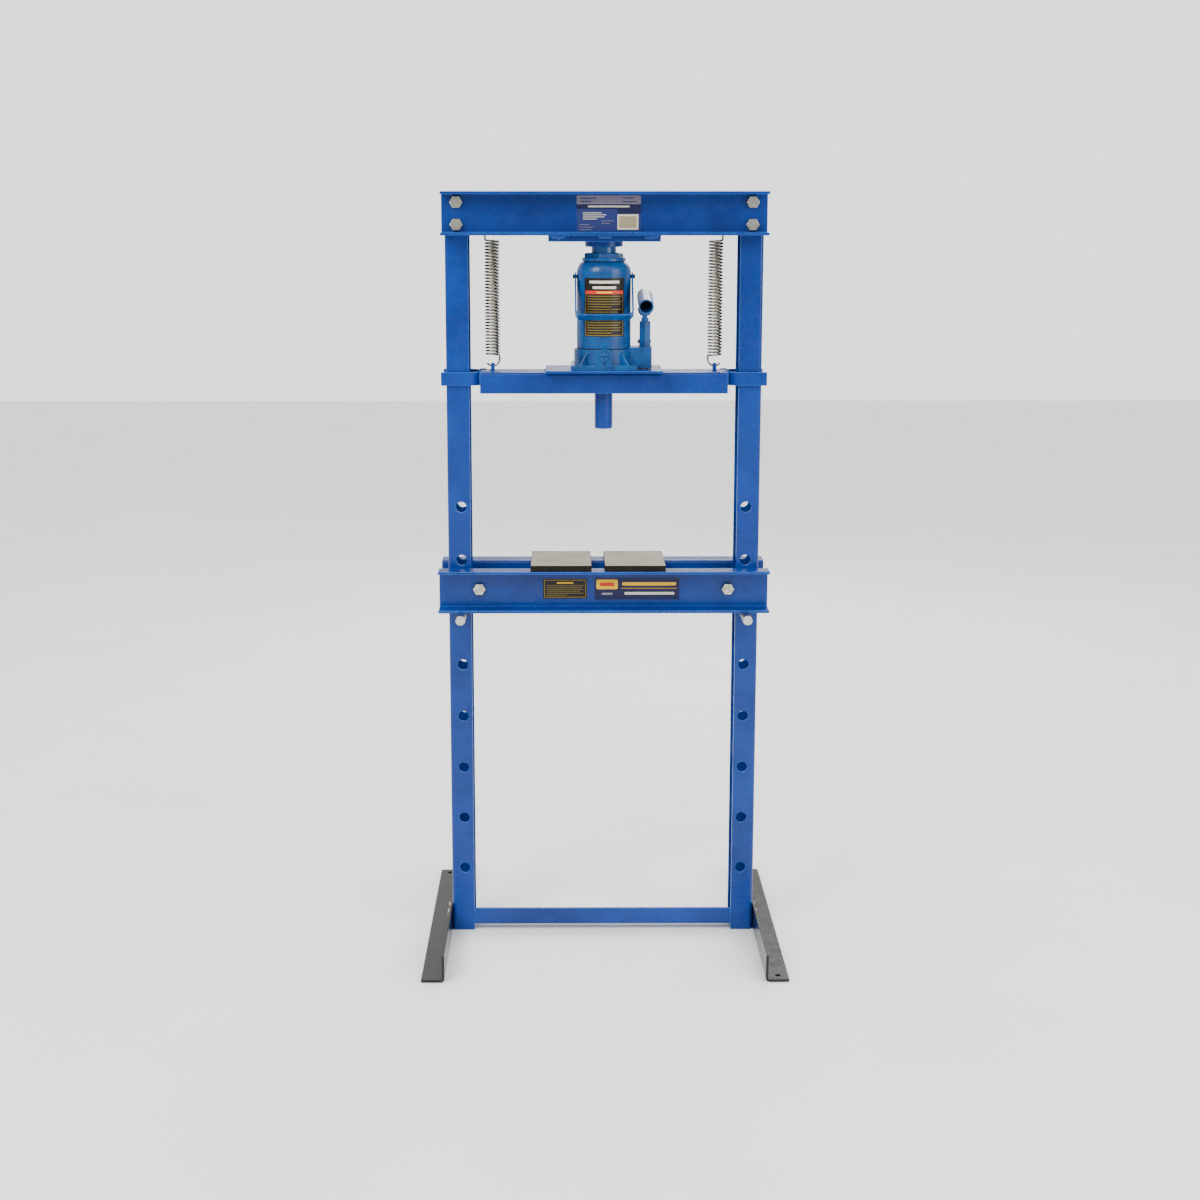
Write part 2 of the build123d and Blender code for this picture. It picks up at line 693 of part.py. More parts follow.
# ---- Tank, gaskets, cap nut, pressure cylinder ----
shoulder_low = tank_height - tank_shoulder
shoulder_in = tank_r - tank_top_r
shoulder_radius = (shoulder_in ** 2 + tank_shoulder ** 2) / (2 * shoulder_in)
shoulder_centre = tank_r - shoulder_radius
inner_rise = tank_shoulder - tank_wall
inner_top_r = shoulder_centre + sqrt((shoulder_radius - tank_wall) ** 2 - inner_rise ** 2)

with BuildPart() as jack_tank:
    with BuildSketch(Plane((0, 0, jack_z + tank_bottom), x_dir=(1, 0, 0), z_dir=(0, -1, 0))):
        with BuildLine():
            Line((tank_r - tank_wall, 0), (tank_r, 0))
            Line((tank_r, 0), (tank_r, shoulder_low))
            TangentArc((tank_r, shoulder_low), (tank_top_r, tank_height), tangent=(0, 1))
            Line((tank_top_r, tank_height), (cylinder_r + 1, tank_height))
            Line((cylinder_r + 1, tank_height), (cylinder_r + 1, tank_height - tank_wall))
            Line((cylinder_r + 1, tank_height - tank_wall), (inner_top_r, tank_height - tank_wall))
            TangentArc((tank_r - tank_wall, shoulder_low), (inner_top_r, tank_height - tank_wall),
                       tangent=(0, 1))
            Line((tank_r - tank_wall, shoulder_low), (tank_r - tank_wall, 0))
        make_face()
    revolve(axis=Axis.Z)
    drill((0, 0, jack_z + filler_height), (0, 1, 0), filler_d, tank_d)
    drill((-tank_d, 0, jack_z + bail_pivot_height), (1, 0, 0), rivet_d, 2 * tank_d)
save(jack_tank.part, "jack_tank")

with BuildPart() as tank_gaskets:
    for gasket_r, eye_r, height in ((tank_r - 0.5, tank_r - gasket_width, base_height),
                                    (cap_flange_r - 2, cylinder_r + 1, tank_top)):
        with Locations((0, 0, jack_z + height)):
            add(ring(2 * gasket_r, 2 * eye_r, gasket))
save(tank_gaskets.part, "tank_gaskets")

save(turned([(cylinder_bore / 2, cylinder_floor), (cylinder_r, cylinder_floor), (cylinder_r, cylinder_top),
             (cylinder_bore / 2, cylinder_top)], jack_z), "pressure_cylinder")

ram_r = ram_d / 2
with BuildPart() as jack_cap_nut:
    add(turned([(ram_r + slide_fit, cap_bottom - cap_spigot),
                (cylinder_bore / 2 - slide_fit, cap_bottom - cap_spigot),
                (cylinder_bore / 2 - slide_fit, cap_bottom), (cap_flange_r - broken_edge, cap_bottom),
                (cap_flange_r, cap_bottom + broken_edge),
                (cap_flange_r, cap_bottom + cap_flange_height - broken_edge),
                (cap_flange_r - broken_edge, cap_bottom + cap_flange_height),
                (ram_r + slide_fit, cap_bottom + cap_flange_height)], jack_z))
    with BuildSketch(Plane.XY.offset(jack_z + cap_bottom + cap_flange_height)):
        with Locations(Location((0, 0, 0), (0, 0, 15))):
            RegularPolygon(cap_hex / 2, 6, major_radius=False)
        Circle(ram_r + slide_fit, mode=Mode.SUBTRACT)
    extrude(amount=cap_hex_height)
    chamfer(jack_cap_nut.edges().filter_by(GeomType.LINE).group_by(Axis.Z)[-1], 1.5)
save(jack_cap_nut.part, "jack_cap_nut")

# ---- Ram, piston seal and extension screw ----
piston_r = cylinder_bore / 2 - slide_fit
groove_r = cylinder_bore / 2 - seal_depth
seal_low = ram_bottom + (piston_height - seal_height) / 2
save(turned([(0, ram_bottom), (piston_r, ram_bottom), (piston_r, seal_low), (groove_r, seal_low),
             (groove_r, seal_low + seal_height), (piston_r, seal_low + seal_height),
             (piston_r, ram_bottom + piston_height), (ram_r, ram_bottom + piston_height), (ram_r, ram_top),
             (screw_d / 2 + slide_fit, ram_top), (screw_d / 2 + slide_fit, ram_top - screw_length - 2),
             (0, ram_top - screw_length - 2)], jack_z), "jack_ram")
save(turned([(groove_r, seal_low), (piston_r, seal_low), (piston_r, seal_low + seal_height),
             (groove_r, seal_low + seal_height)], jack_z), "piston_seal")
save(turned([(0, ram_top - screw_length), (screw_d / 2, ram_top - screw_length), (screw_d / 2, ram_top),
             (screw_head_d / 2, ram_top), (screw_head_d / 2, jack_height - 1),
             (screw_head_d / 2 - 1, jack_height), (0, jack_height)], jack_z), "extension_screw")

# ---- Release valve: spindle with a slotted round head ----
with BuildPart() as release_valve:
    with Locations(Plane((0, -valve_seat_y - rest_gap, jack_z + valve_height), z_dir=(0, -1, 0))):
        add(turned([(0, 0), (passage_d / 2, 0), (valve_d / 2, 3),
                    (valve_d / 2, lug_reach - valve_seat_y),
                    (valve_head_d / 2, lug_reach - valve_seat_y),
                    (valve_head_d / 2, lug_reach - valve_seat_y + valve_head_length - 1),
                    (valve_head_d / 2 - 1, lug_reach - valve_seat_y + valve_head_length),
                    (0, lug_reach - valve_seat_y + valve_head_length)]))
    with Locations((0, -lug_reach - rest_gap - valve_head_length, jack_z + valve_height)):
        Box(valve_head_d, 6, 2.4, mode=Mode.SUBTRACT)
save(release_valve.part, "release_valve")

# ---- Pump cylinder, its seal, the plunger ----
cylinder_mouth = pump_cylinder_top - pump_seal_height
pump_r = pump_cylinder_d / 2
plunger_r = plunger_d / 2
seal_r = plunger_r + pump_seal_depth


def at_pump(part):
    return group(part, [Location((pump_x, pump_y, jack_z))])


# Round where it enters the block, hexagonal above it with a corner to the front
pump_corner_r = pump_hex / 2 / cos(radians(30))
with BuildPart() as pump_cylinder:
    add(turned([(plunger_r + slide_fit, cylinder_floor), (pump_r, cylinder_floor), (pump_r, block_height),
                (pump_corner_r, block_height), (pump_corner_r, pump_cylinder_top - pump_hex_chamfer),
                (pump_corner_r - pump_hex_chamfer, pump_cylinder_top),
                (seal_r, pump_cylinder_top), (seal_r, cylinder_mouth),
                (plunger_r + slide_fit, cylinder_mouth)]))
    with BuildSketch(Plane.XY.offset(cylinder_floor)):
        RegularPolygon(pump_hex / 2, 6, major_radius=False, rotation=30)
    extrude(amount=pump_cylinder_top - cylinder_floor, mode=Mode.INTERSECT)
save(at_pump(pump_cylinder.part), "pump_cylinder")
save(at_pump(turned([(plunger_r + slide_fit, cylinder_mouth), (seal_r, cylinder_mouth),
                     (seal_r, pump_cylinder_top), (plunger_r + slide_fit, pump_cylinder_top)])), "pump_seal")

tongue_low = pump_cylinder_top + tongue_rise
with BuildPart() as pump_plunger:
    with Locations((pump_x, pump_y, jack_z + cylinder_floor)):
        Cylinder(plunger_r, tongue_low - cylinder_floor, align=(Align.CENTER, Align.CENTER, Align.MIN))
    with BuildSketch(Plane.YZ.offset(pump_x)):
        with Locations((pump_y, jack_z + plunger_pin_height)):
            Circle(plunger_r)
        with Locations((pump_y, jack_z + tongue_low)):
            Rectangle(plunger_d, plunger_pin_height - tongue_low, align=(Align.CENTER, Align.MIN))
    extrude(amount=tongue_thickness / 2, both=True)
    drill((0, pump_y, jack_z + plunger_pin_height), (1, 0, 0), pivot_d + 2 * slide_fit, 2 * pump_x)
save(pump_plunger.part, "pump_plunger")

# ---- Handle socket: tilted tube over two cheeks that straddle the plunger and the link ----
plunger_pin_z = jack_z + plunger_pin_height
link_pin_y = pump_y + link_pin_back
link_pin_z = plunger_pin_z + link_pin_rise
tilt = radians(socket_tilt)
mouth_way = (0, -cos(tilt), -sin(tilt))
socket_end = (pump_x, pump_y + socket_back * cos(tilt), plunger_pin_z + socket_rise + socket_back * sin(tilt))
socket_floor = tuple(place + socket_end_wall * way for place, way in zip(socket_end, mouth_way))
cheek_high = socket_rise - socket_od / 2 + cheek_thickness

with BuildPart() as handle_socket:
    for cheek in (-1, 1):
        with BuildSketch(Plane((pump_x + cheek * (tongue_thickness / 2 + tongue_play), pump_y, plunger_pin_z),
                               x_dir=(0, 1, 0), z_dir=(1, 0, 0))):
            with BuildLine():
                Polyline((-cheek_rim, 0), (-cheek_rim, cheek_high),
                         (link_pin_back + cheek_rim / 2, cheek_high + cheek_thickness),
                         (link_pin_back + cheek_rim, link_pin_rise),
                         (link_pin_back, link_pin_rise - cheek_rim), (0, -cheek_rim), close=True)
            make_face()
            Circle(cheek_rim)
            with Locations((link_pin_back, link_pin_rise)):
                Circle(cheek_rim)
        extrude(amount=cheek * cheek_thickness)
    with Locations(Plane(socket_end, z_dir=mouth_way)):
        Cylinder(socket_od / 2, socket_length, align=(Align.CENTER, Align.CENTER, Align.MIN))
    drill(socket_floor, mouth_way, socket_bore, socket_length)
    drill((0, pump_y, plunger_pin_z), (1, 0, 0), pivot_d, 2 * pump_x)
    drill((0, link_pin_y, link_pin_z), (1, 0, 0), pivot_d, 2 * pump_x)
save(handle_socket.part, "handle_socket")

with BuildPart() as pivot_pin:
    Cylinder(pivot_d / 2, pivot_length, rotation=(0, 90, 0))
    chamfer(pivot_pin.edges().filter_by(GeomType.CIRCLE), 0.6)
save(group(pivot_pin.part, [Location((pump_x, pump_y, plunger_pin_z)),
                            Location((pump_x, link_pin_y, link_pin_z))]), "socket_pins")
save(group(pivot_pin.part, [Location((pump_x, link_foot_y, jack_z + link_foot_z))]), "link_foot_pin")

# Link: flat bar with a running eye at the foot and a wide eye at the top
with BuildPart() as pump_link:
    with BuildSketch(Plane((pump_x, link_foot_y, jack_z + link_foot_z), x_dir=(0, 1, 0), z_dir=(1, 0, 0))):
        with Locations((0, link_length / 2)):
            SlotCenterToCenter(link_length, link_width, rotation=90)
        Circle(pivot_d / 2 + slide_fit, mode=Mode.SUBTRACT)
        with Locations((0, link_length)):
            Circle(pivot_d / 2 + link_play, mode=Mode.SUBTRACT)
    extrude(amount=tongue_thickness / 2, both=True)
save(pump_link.part, "pump_link")

# ---- Filler plug at the back of the tank ----
with BuildPart() as oil_filler_plug:
    with Locations(Plane((0, tank_r - tank_wall, jack_z + filler_height), z_dir=(0, 1, 0))):
        add(turned([(0, -1), (filler_d / 2 - 0.2, -1), (filler_d / 2 - 0.2, tank_wall),
                    (filler_head_d / 2, tank_wall), (filler_head_d / 2, tank_wall + 2),
                    (filler_head_d / 2 - 1, tank_wall + 3), (0, tank_wall + 3)]))
save(oil_filler_plug.part, "oil_filler_plug")

# ---- Carrying bail and its two rivets ----
bail_z = jack_z + bail_pivot_height
droop = radians(bail_droop)
bail_inner = tank_r + bail_play
bail_outer = bail_inner + bail_thickness
bail_reach = (bail_inner + sin(droop) * bail_width / 2) / cos(droop)
bail_plane = Plane((0, 0, bail_z), x_dir=(1, 0, 0), z_dir=(0, sin(droop), -cos(droop)))

with BuildPart() as carry_bail:
    with BuildSketch(bail_plane):
        for half, reach, corner, mode in (
                (bail_outer, bail_reach + bail_thickness, bail_corner + bail_thickness, Mode.ADD),
                (bail_inner, bail_reach, bail_corner, Mode.SUBTRACT)):
            with BuildSketch(mode=Mode.PRIVATE) as outline:
                Rectangle(2 * half, reach, align=(Align.CENTER, Align.MIN))
                fillet(outline.vertices().group_by(Axis.Y)[-1], corner)
            add(outline.sketch, mode=mode)
    extrude(amount=bail_width / 2, both=True)
    for side in (-1, 1):
        with Locations(Plane((side * bail_inner, 0, bail_z), z_dir=(side, 0, 0))):
            Cylinder(bail_width / 2, bail_thickness, align=(Align.CENTER, Align.CENTER, Align.MIN))
    drill((-tank_d, 0, bail_z), (1, 0, 0), rivet_d + 2 * rivet_play, 2 * tank_d)
save(carry_bail.part, "carry_bail")

rivet_foot = tank_r - tank_wall
with BuildPart() as rivet:
    with Locations(Plane((rivet_foot + 0.5, 0, 0), z_dir=(1, 0, 0))):
        add(turned([(0, 0), (rivet_d / 2, 0), (rivet_d / 2, bail_outer + 0.5 - rivet_foot),
                    (rivet_head_d / 2, bail_outer + 0.5 - rivet_foot),
                    (rivet_head_d / 2 - 1.2, bail_outer + 0.5 - rivet_foot + rivet_head_height),
                    (0, bail_outer + 0.5 - rivet_foot + rivet_head_height)]))
save(group(rivet.part, [Location((0, 0, bail_z)), Location((0, 0, bail_z), (0, 0, 180))]), "bail_rivets")
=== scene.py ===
import json
import math
import bpy
import numpy as np
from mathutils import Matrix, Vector


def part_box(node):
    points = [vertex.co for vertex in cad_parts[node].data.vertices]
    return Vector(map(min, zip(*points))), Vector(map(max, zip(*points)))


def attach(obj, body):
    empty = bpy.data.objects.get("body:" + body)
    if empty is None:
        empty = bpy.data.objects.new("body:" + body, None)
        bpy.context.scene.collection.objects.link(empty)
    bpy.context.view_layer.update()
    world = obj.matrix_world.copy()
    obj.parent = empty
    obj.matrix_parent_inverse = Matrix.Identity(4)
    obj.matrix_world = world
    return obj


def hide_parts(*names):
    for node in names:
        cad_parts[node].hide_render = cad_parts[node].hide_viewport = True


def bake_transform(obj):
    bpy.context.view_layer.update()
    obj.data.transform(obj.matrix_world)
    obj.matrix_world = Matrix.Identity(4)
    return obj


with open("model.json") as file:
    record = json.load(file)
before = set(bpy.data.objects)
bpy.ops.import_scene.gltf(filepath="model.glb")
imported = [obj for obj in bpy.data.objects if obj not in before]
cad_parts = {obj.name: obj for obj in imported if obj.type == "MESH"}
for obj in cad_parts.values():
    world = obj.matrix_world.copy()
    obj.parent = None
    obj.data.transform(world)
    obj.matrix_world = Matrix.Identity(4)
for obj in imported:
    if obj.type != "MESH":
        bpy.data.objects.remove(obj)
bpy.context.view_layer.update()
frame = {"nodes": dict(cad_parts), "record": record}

mm = 0.001
turn = 2 * math.pi


def linear(hexColour):
    # sRGB hex to linear: (c + 0.055) / 1.055 to the power 2.4, or c / 12.92 in the darks
    srgb = np.array([int(hexColour[i:i + 2], 16) for i in (1, 3, 5)]) / 255
    flat = np.where(srgb <= 0.04045, srgb / 12.92, ((srgb + 0.055) / 1.055) ** 2.4)
    return (*(float(c) for c in flat), 1.0)


def addNode(tree, kind, inputs=None, out=0, **settings):
    # one shader node: settings are its own properties; inputs are values, hex colours or sockets to link
    node = tree.nodes.new("ShaderNode" + kind)
    for key, value in settings.items():
        setattr(node, key, value)
    for key, value in (inputs or {}).items():
        if isinstance(value, bpy.types.NodeSocket):
            tree.links.new(value, node.inputs[key])
        else:
            node.inputs[key].default_value = linear(value) if isinstance(value, str) else value
    return node.outputs[out]


def startMaterial(name, evenValues):
    # evenValues are the shader's values that are the same all over; place is in metres, for every pattern
    material = bpy.data.materials.new(name)
    material.use_nodes = True
    tree = material.node_tree
    shader = tree.nodes["Principled BSDF"]
    for socket, value in evenValues.items():
        shader.inputs[socket].default_value = value
    return material, tree, shader, addNode(tree, "TexCoord", out="Object")


def endMaterial(tree, shader, colour, roughness, bumps, roundMm=0.0):
    # bumps are (height, depth in mm), laid over edges that roundMm softens for the light
    tree.links.new(colour, shader.inputs["Base Color"])
    tree.links.new(roughness, shader.inputs["Roughness"])
    under = {"Normal": addNode(tree, "Bevel", {"Radius": roundMm * mm}, samples=4)} if roundMm else {}
    for height, depth in bumps:
        under = {"Normal": addNode(tree, "Bump", {"Height": height, "Distance": depth * mm,
                                                  "Strength": 1.0, **under})}
    tree.links.new(under["Normal"], shader.inputs["Normal"])


def edgeWearAndHighlight(tree, place, f):
    # edge mask for wear and a painted highlight: most within the rounding width of an upper edge, in patches,
    # half of that on other edges and 0 on flat faces, from how far the rounded normal leaves the true one;
    # the full share on upper edges is a painted highlight where they face the overhead light
    rounded = addNode(tree, "Bevel", {"Radius": f["wearAndHighlightMm"] * mm}, samples=4)
    flat = addNode(tree, "NewGeometry", out="True Normal")
    likeness = addNode(tree, "VectorMath", {0: rounded, 1: flat}, "Value", operation="DOT_PRODUCT")
    edge = addNode(tree, "MapRange", {"Value": likeness, "From Min": 0.99, "From Max": 0.80,
                                      "To Max": f["wearAndHighlightMost"]})
    patches = addNode(tree, "TexNoise", {"Vector": place, "Scale": 1000 / f["wearPatchMm"]})
    wearAndHighlight = addNode(tree, "MapRange", {"Value": patches, "From Min": 0.2, "From Max": 0.5})
    # upper edges get the full share: a painted highlight along the arrises that face the overhead light
    rise = addNode(tree, "SeparateXYZ", {"Vector": rounded}, "Z")
    upper = addNode(tree, "MapRange", {"Value": rise, "From Min": 0.15, "From Max": 0.6, "To Min": 0.5})
    wearAndHighlight = addNode(tree, "Math", {0: wearAndHighlight, 1: upper}, operation="MULTIPLY")
    return addNode(tree, "Math", {0: edge, 1: wearAndHighlight}, operation="MULTIPLY")


# Blue stoving enamel sprayed over mill-scaled steel: gloss with a slight orange peel, paler on edges where
# the film is thin, with a painted highlight along the upper edges, and a little workshop dust below
# dustHeight, in metres
frameFinish = {"deep": "#00276C", "body": "#003586", "thinFilmAndHighlight": "#3486DC", "dust": "#4A72AE", "cloudMm": 90,
               "smearMm": 14, "wavesMm": 55, "peelMm": 3.2, "dustMm": 2.2, "dustHeight": 0.5, "dustMost": 0.3,
               "wearAndHighlightMm": 2.2, "wearPatchMm": 9, "wearAndHighlightMost": 0.85, "roughness": (0.20, 0.36)}


def makeFrameEnamel():
    f = frameFinish
    material, tree, shader, place = startMaterial(
        "blueStovingEnamelOnSteel", {"Specular IOR Level": 0.28, "Coat Weight": 0.08, "Coat Roughness": 0.08})
    cloud = addNode(tree, "TexNoise", {"Vector": place, "Scale": 1000 / f["cloudMm"], "Detail": 3})
    depth = addNode(tree, "MapRange", {"Value": cloud, "From Min": 0.35, "From Max": 0.68})
    colour = addNode(tree, "Mix", {0: depth, 6: f["deep"], 7: f["body"]}, 2, data_type="RGBA")
    # paler edges: thin film, and a painted highlight along the upper arrises
    wearAndHighlight = edgeWearAndHighlight(tree, place, f)
    colour = addNode(tree, "Mix", {0: wearAndHighlight, 6: colour, 7: f["thinFilmAndHighlight"]}, 2, data_type="RGBA")
    grit = addNode(tree, "TexNoise", {"Vector": place, "Scale": 1000 / f["dustMm"], "Detail": 4,
                                      "Roughness": 0.7})
    speck = addNode(tree, "MapRange", {"Value": grit, "From Min": 0.66, "From Max": 0.76})
    height = addNode(tree, "SeparateXYZ", {"Vector": place}, "Z")
    low = addNode(tree, "MapRange", {"Value": height, "From Min": f["dustHeight"], "From Max": 0,
                                     "To Min": 0, "To Max": f["dustMost"]})
    dusty = addNode(tree, "Math", {0: speck, 1: low}, operation="MULTIPLY")
    colour = addNode(tree, "Mix", {0: dusty, 6: colour, 7: f["dust"]}, 2, data_type="RGBA")
    smear = addNode(tree, "TexNoise", {"Vector": place, "Scale": 1000 / f["smearMm"], "Detail": 4})
    smooth, rough = f["roughness"]
    roughness = addNode(tree, "MapRange", {"Value": smear, "From Min": 0.3, "From Max": 0.75,
                                           "To Min": smooth, "To Max": rough})
    waves = addNode(tree, "TexNoise", {"Vector": place, "Scale": 1000 / f["wavesMm"]})
    peel = addNode(tree, "TexNoise", {"Vector": place, "Scale": 1000 / f["peelMm"]})
    endMaterial(tree, shader, colour, roughness, [(waves, 0.5), (peel, 0.03)], 0.9)
    return material


# Jack enamel, a greener blue: sprayed smooth on turned steel, or thick over a sand casting's skin
jackFinish = {"deep": "#003568", "body": "#004C8C", "thinFilmAndHighlight": "#3F92D8", "cloudMm": 24, "smearMm": 7,
              "wearAndHighlightMm": 1.2, "wearPatchMm": 5, "wearAndHighlightMost": 0.55, "roughness": (0.22, 0.40)}
turnedSkin = {"lumpMm": 15, "grainMm": 3.0, "depthMm": 0.05, "coat": 0.15}
castSkin = {"lumpMm": 11, "grainMm": 2.2, "depthMm": 0.35, "coat": 0.12}


def makeJackEnamel(name, skin):
    f = jackFinish
    material, tree, shader, place = startMaterial(
        name, {"Specular IOR Level": 0.32, "Coat Weight": skin["coat"], "Coat Roughness": 0.1})
    cloud = addNode(tree, "TexNoise", {"Vector": place, "Scale": 1000 / f["cloudMm"], "Detail": 3})
    depth = addNode(tree, "MapRange", {"Value": cloud, "From Min": 0.35, "From Max": 0.7})
    colour = addNode(tree, "Mix", {0: depth, 6: f["deep"], 7: f["body"]}, 2, data_type="RGBA")
    # paler edges: thin film, and a painted highlight along the upper arrises
    wearAndHighlight = edgeWearAndHighlight(tree, place, f)
    colour = addNode(tree, "Mix", {0: wearAndHighlight, 6: colour, 7: f["thinFilmAndHighlight"]}, 2, data_type="RGBA")
    smear = addNode(tree, "TexNoise", {"Vector": place, "Scale": 1000 / f["smearMm"], "Detail": 4})
    smooth, rough = f["roughness"]
    roughness = addNode(tree, "MapRange", {"Value": smear, "From Min": 0.3, "From Max": 0.75,
                                           "To Min": smooth, "To Max": rough})
    lumps = addNode(tree, "TexNoise", {"Vector": place, "Scale": 1000 / skin["lumpMm"]})
    grain = addNode(tree, "TexNoise", {"Vector": place, "Scale": 1000 / skin["grainMm"], "Detail": 3})
    bumps = [(lumps, skin["depthMm"]), (grain, skin["depthMm"] * 0.4)]
    endMaterial(tree, shader, colour, roughness, bumps, 0.8)
    return material


# Black bitumen enamel on hot-rolled angle: brownish, wet gloss, dust on the upper faces and small scuffs
footFinish = {"deep": "#0B0906", "body": "#1A1710", "dust": "#4E493D", "scuff": "#5E5A4E", "cloudMm": 45,
              "dustMm": 6, "dustMost": 0.08, "smearMm": 20, "wavesMm": 40, "peelMm": 3, "wearAndHighlightMm": 1.0,
              "wearPatchMm": 6, "wearAndHighlightMost": 0.45, "roughness": (0.16, 0.30)}


def makeFootEnamel():
    f = footFinish
    material, tree, shader, place = startMaterial(
        "blackBitumenEnamelOnAngle", {"Specular IOR Level": 0.3, "Coat Weight": 0.08})
    cloud = addNode(tree, "TexNoise", {"Vector": place, "Scale": 1000 / f["cloudMm"], "Detail": 3})
    depth = addNode(tree, "MapRange", {"Value": cloud, "From Min": 0.35, "From Max": 0.7})
    colour = addNode(tree, "Mix", {0: depth, 6: f["deep"], 7: f["body"]}, 2, data_type="RGBA")
    rise = addNode(tree, "SeparateXYZ", {"Vector": addNode(tree, "TexCoord", out="Normal")}, "Z")
    upward = addNode(tree, "MapRange", {"Value": rise, "From Min": 0.5, "From Max": 0.95,
                                        "To Max": f["dustMost"]})
    grit = addNode(tree, "TexNoise", {"Vector": place, "Scale": 1000 / f["dustMm"], "Detail": 5,
                                      "Roughness": 0.7})
    dust = addNode(tree, "MapRange", {"Value": grit, "From Min": 0.45, "From Max": 0.8})
    settled = addNode(tree, "Math", {0: dust, 1: upward}, operation="MULTIPLY")
    colour = addNode(tree, "Mix", {0: settled, 6: colour, 7: f["dust"]}, 2, data_type="RGBA")
    along = addNode(tree, "Mapping", {"Vector": place, "Scale": (400, 45, 400)})    # scuffs 2.5 by 22 mm
    scratches = addNode(tree, "TexNoise", {"Vector": along, "Scale": 1, "Detail": 3})
    scuff = addNode(tree, "MapRange", {"Value": scratches, "From Min": 0.70, "From Max": 0.78, "To Max": 0.3})
    colour = addNode(tree, "Mix", {0: scuff, 6: colour, 7: f["scuff"]}, 2, data_type="RGBA")
    # scuffed edges, weighted to the upper edges as a painted highlight
    wearAndHighlight = edgeWearAndHighlight(tree, place, f)
    colour = addNode(tree, "Mix", {0: wearAndHighlight, 6: colour, 7: f["scuff"]}, 2, data_type="RGBA")
    smear = addNode(tree, "TexNoise", {"Vector": place, "Scale": 1000 / f["smearMm"], "Detail": 3})
    smooth, rough = f["roughness"]
    gloss = addNode(tree, "MapRange", {"Value": smear, "From Min": 0.3, "From Max": 0.7,
                                       "To Min": smooth, "To Max": rough})
    roughness = addNode(tree, "Math", {0: dust, 1: 0.12, 2: gloss}, operation="MULTIPLY_ADD")
    waves = addNode(tree, "TexNoise", {"Vector": place, "Scale": 1000 / f["wavesMm"]})
    peel = addNode(tree, "TexNoise", {"Vector": place, "Scale": 1000 / f["peelMm"]})
    endMaterial(tree, shader, colour, roughness, [(waves, 0.4), (peel, 0.03)], 0.9)
    return material


# Bright zinc plate: slightly milky and clouded on cold-headed fasteners, cleaner on drawn wire; the spring
# wire's copy is darkened all over as painted shade, so that its coils read dark between the turns
boltZinc = {"pale": "#CFCDC4", "dull": "#98958A", "stain": "#6B685B", "cloudMm": 5, "spotMm": 2,
            "dimpleMm": 0.9, "roughness": (0.20, 0.36), "roundMm": 0.6}
# the wire's zinc, darkened all over as painted shade
shadedWireZinc = {**boltZinc, "pale": "#9C998B", "dull": "#5E5B50", "stain": "#37342C",
            "roughness": (0.16, 0.30), "roundMm": 0.0}


def makeZinc(name, f):
    material, tree, shader, place = startMaterial(name, {"Metallic": 1.0})
    cloud = addNode(tree, "TexNoise", {"Vector": place, "Scale": 1000 / f["cloudMm"], "Detail": 4})
    milky = addNode(tree, "MapRange", {"Value": cloud, "From Min": 0.3, "From Max": 0.7})
    colour = addNode(tree, "Mix", {0: milky, 6: f["pale"], 7: f["dull"]}, 2, data_type="RGBA")
    spots = addNode(tree, "TexNoise", {"Vector": place, "Scale": 1000 / f["spotMm"], "Detail": 4,
                                       "Roughness": 0.7})
    stain = addNode(tree, "MapRange", {"Value": spots, "From Min": 0.60, "From Max": 0.78, "To Max": 0.5})
    colour = addNode(tree, "Mix", {0: stain, 6: colour, 7: f["stain"]}, 2, data_type="RGBA")
    smooth, rough = f["roughness"]
    sheen = addNode(tree, "MapRange", {"Value": cloud, "From Min": 0.3, "From Max": 0.7,
                                       "To Min": smooth, "To Max": rough})
    roughness = addNode(tree, "Math", {0: stain, 1: 0.3, 2: sheen}, operation="MULTIPLY_ADD")
    dimples = addNode(tree, "TexNoise", {"Vector": place, "Scale": 1000 / f["dimpleMm"], "Detail": 3})
    endMaterial(tree, shader, colour, roughness, [(dimples, 0.03)], f["roundMm"])
    return material


# Cold-drawn bright bar: long fine die lines along Y, drawn coarser than real so that they show, and a film
# of oil
barFinish = {"bright": "#D8D5CC", "line": "#A5A298", "oil": "#857D6A", "lineMm": 0.7, "stretch": 40,
             "oilMm": 12, "roughness": (0.16, 0.34)}


def makeDrawnBar():
    f = barFinish
    material, tree, shader, place = startMaterial("coldDrawnBrightBar", {"Metallic": 1.0})
    across = 1000 / f["lineMm"]
    along = addNode(tree, "Mapping", {"Vector": place, "Scale": (across, across / f["stretch"], across)})
    lines = addNode(tree, "TexNoise", {"Vector": along, "Scale": 1, "Detail": 3})
    share = addNode(tree, "MapRange", {"Value": lines, "From Min": 0.3, "From Max": 0.7})
    colour = addNode(tree, "Mix", {0: share, 6: f["bright"], 7: f["line"]}, 2, data_type="RGBA")
    oil = addNode(tree, "TexNoise", {"Vector": place, "Scale": 1000 / f["oilMm"], "Detail": 3})
    oily = addNode(tree, "MapRange", {"Value": oil, "From Min": 0.55, "From Max": 0.75, "To Max": 0.35})
    colour = addNode(tree, "Mix", {0: oily, 6: colour, 7: f["oil"]}, 2, data_type="RGBA")
    smooth, rough = f["roughness"]
    roughness = addNode(tree, "MapRange", {"Value": oil, "From Min": 0.3, "From Max": 0.7,
                                           "To Min": smooth, "To Max": rough})
    endMaterial(tree, shader, colour, roughness, [(lines, 0.03)], 0.6)
    return material


# Ground steel of the ram and its cylinder: mirror-like, with fine turning marks round Z drawn coarser than
# real. The jack was sprayed closed, so the end of the ram that stood out of the cap nut is enamelled
groundFinish = {"bright": "#D8D8D6", "mark": "#B0B0AE", "markMm": 0.8, "stretch": 30, "hazeMm": 10,
                "spray": "#004E8C", "sprayEdgeMm": 0.2, "roughness": (0.12, 0.26)}


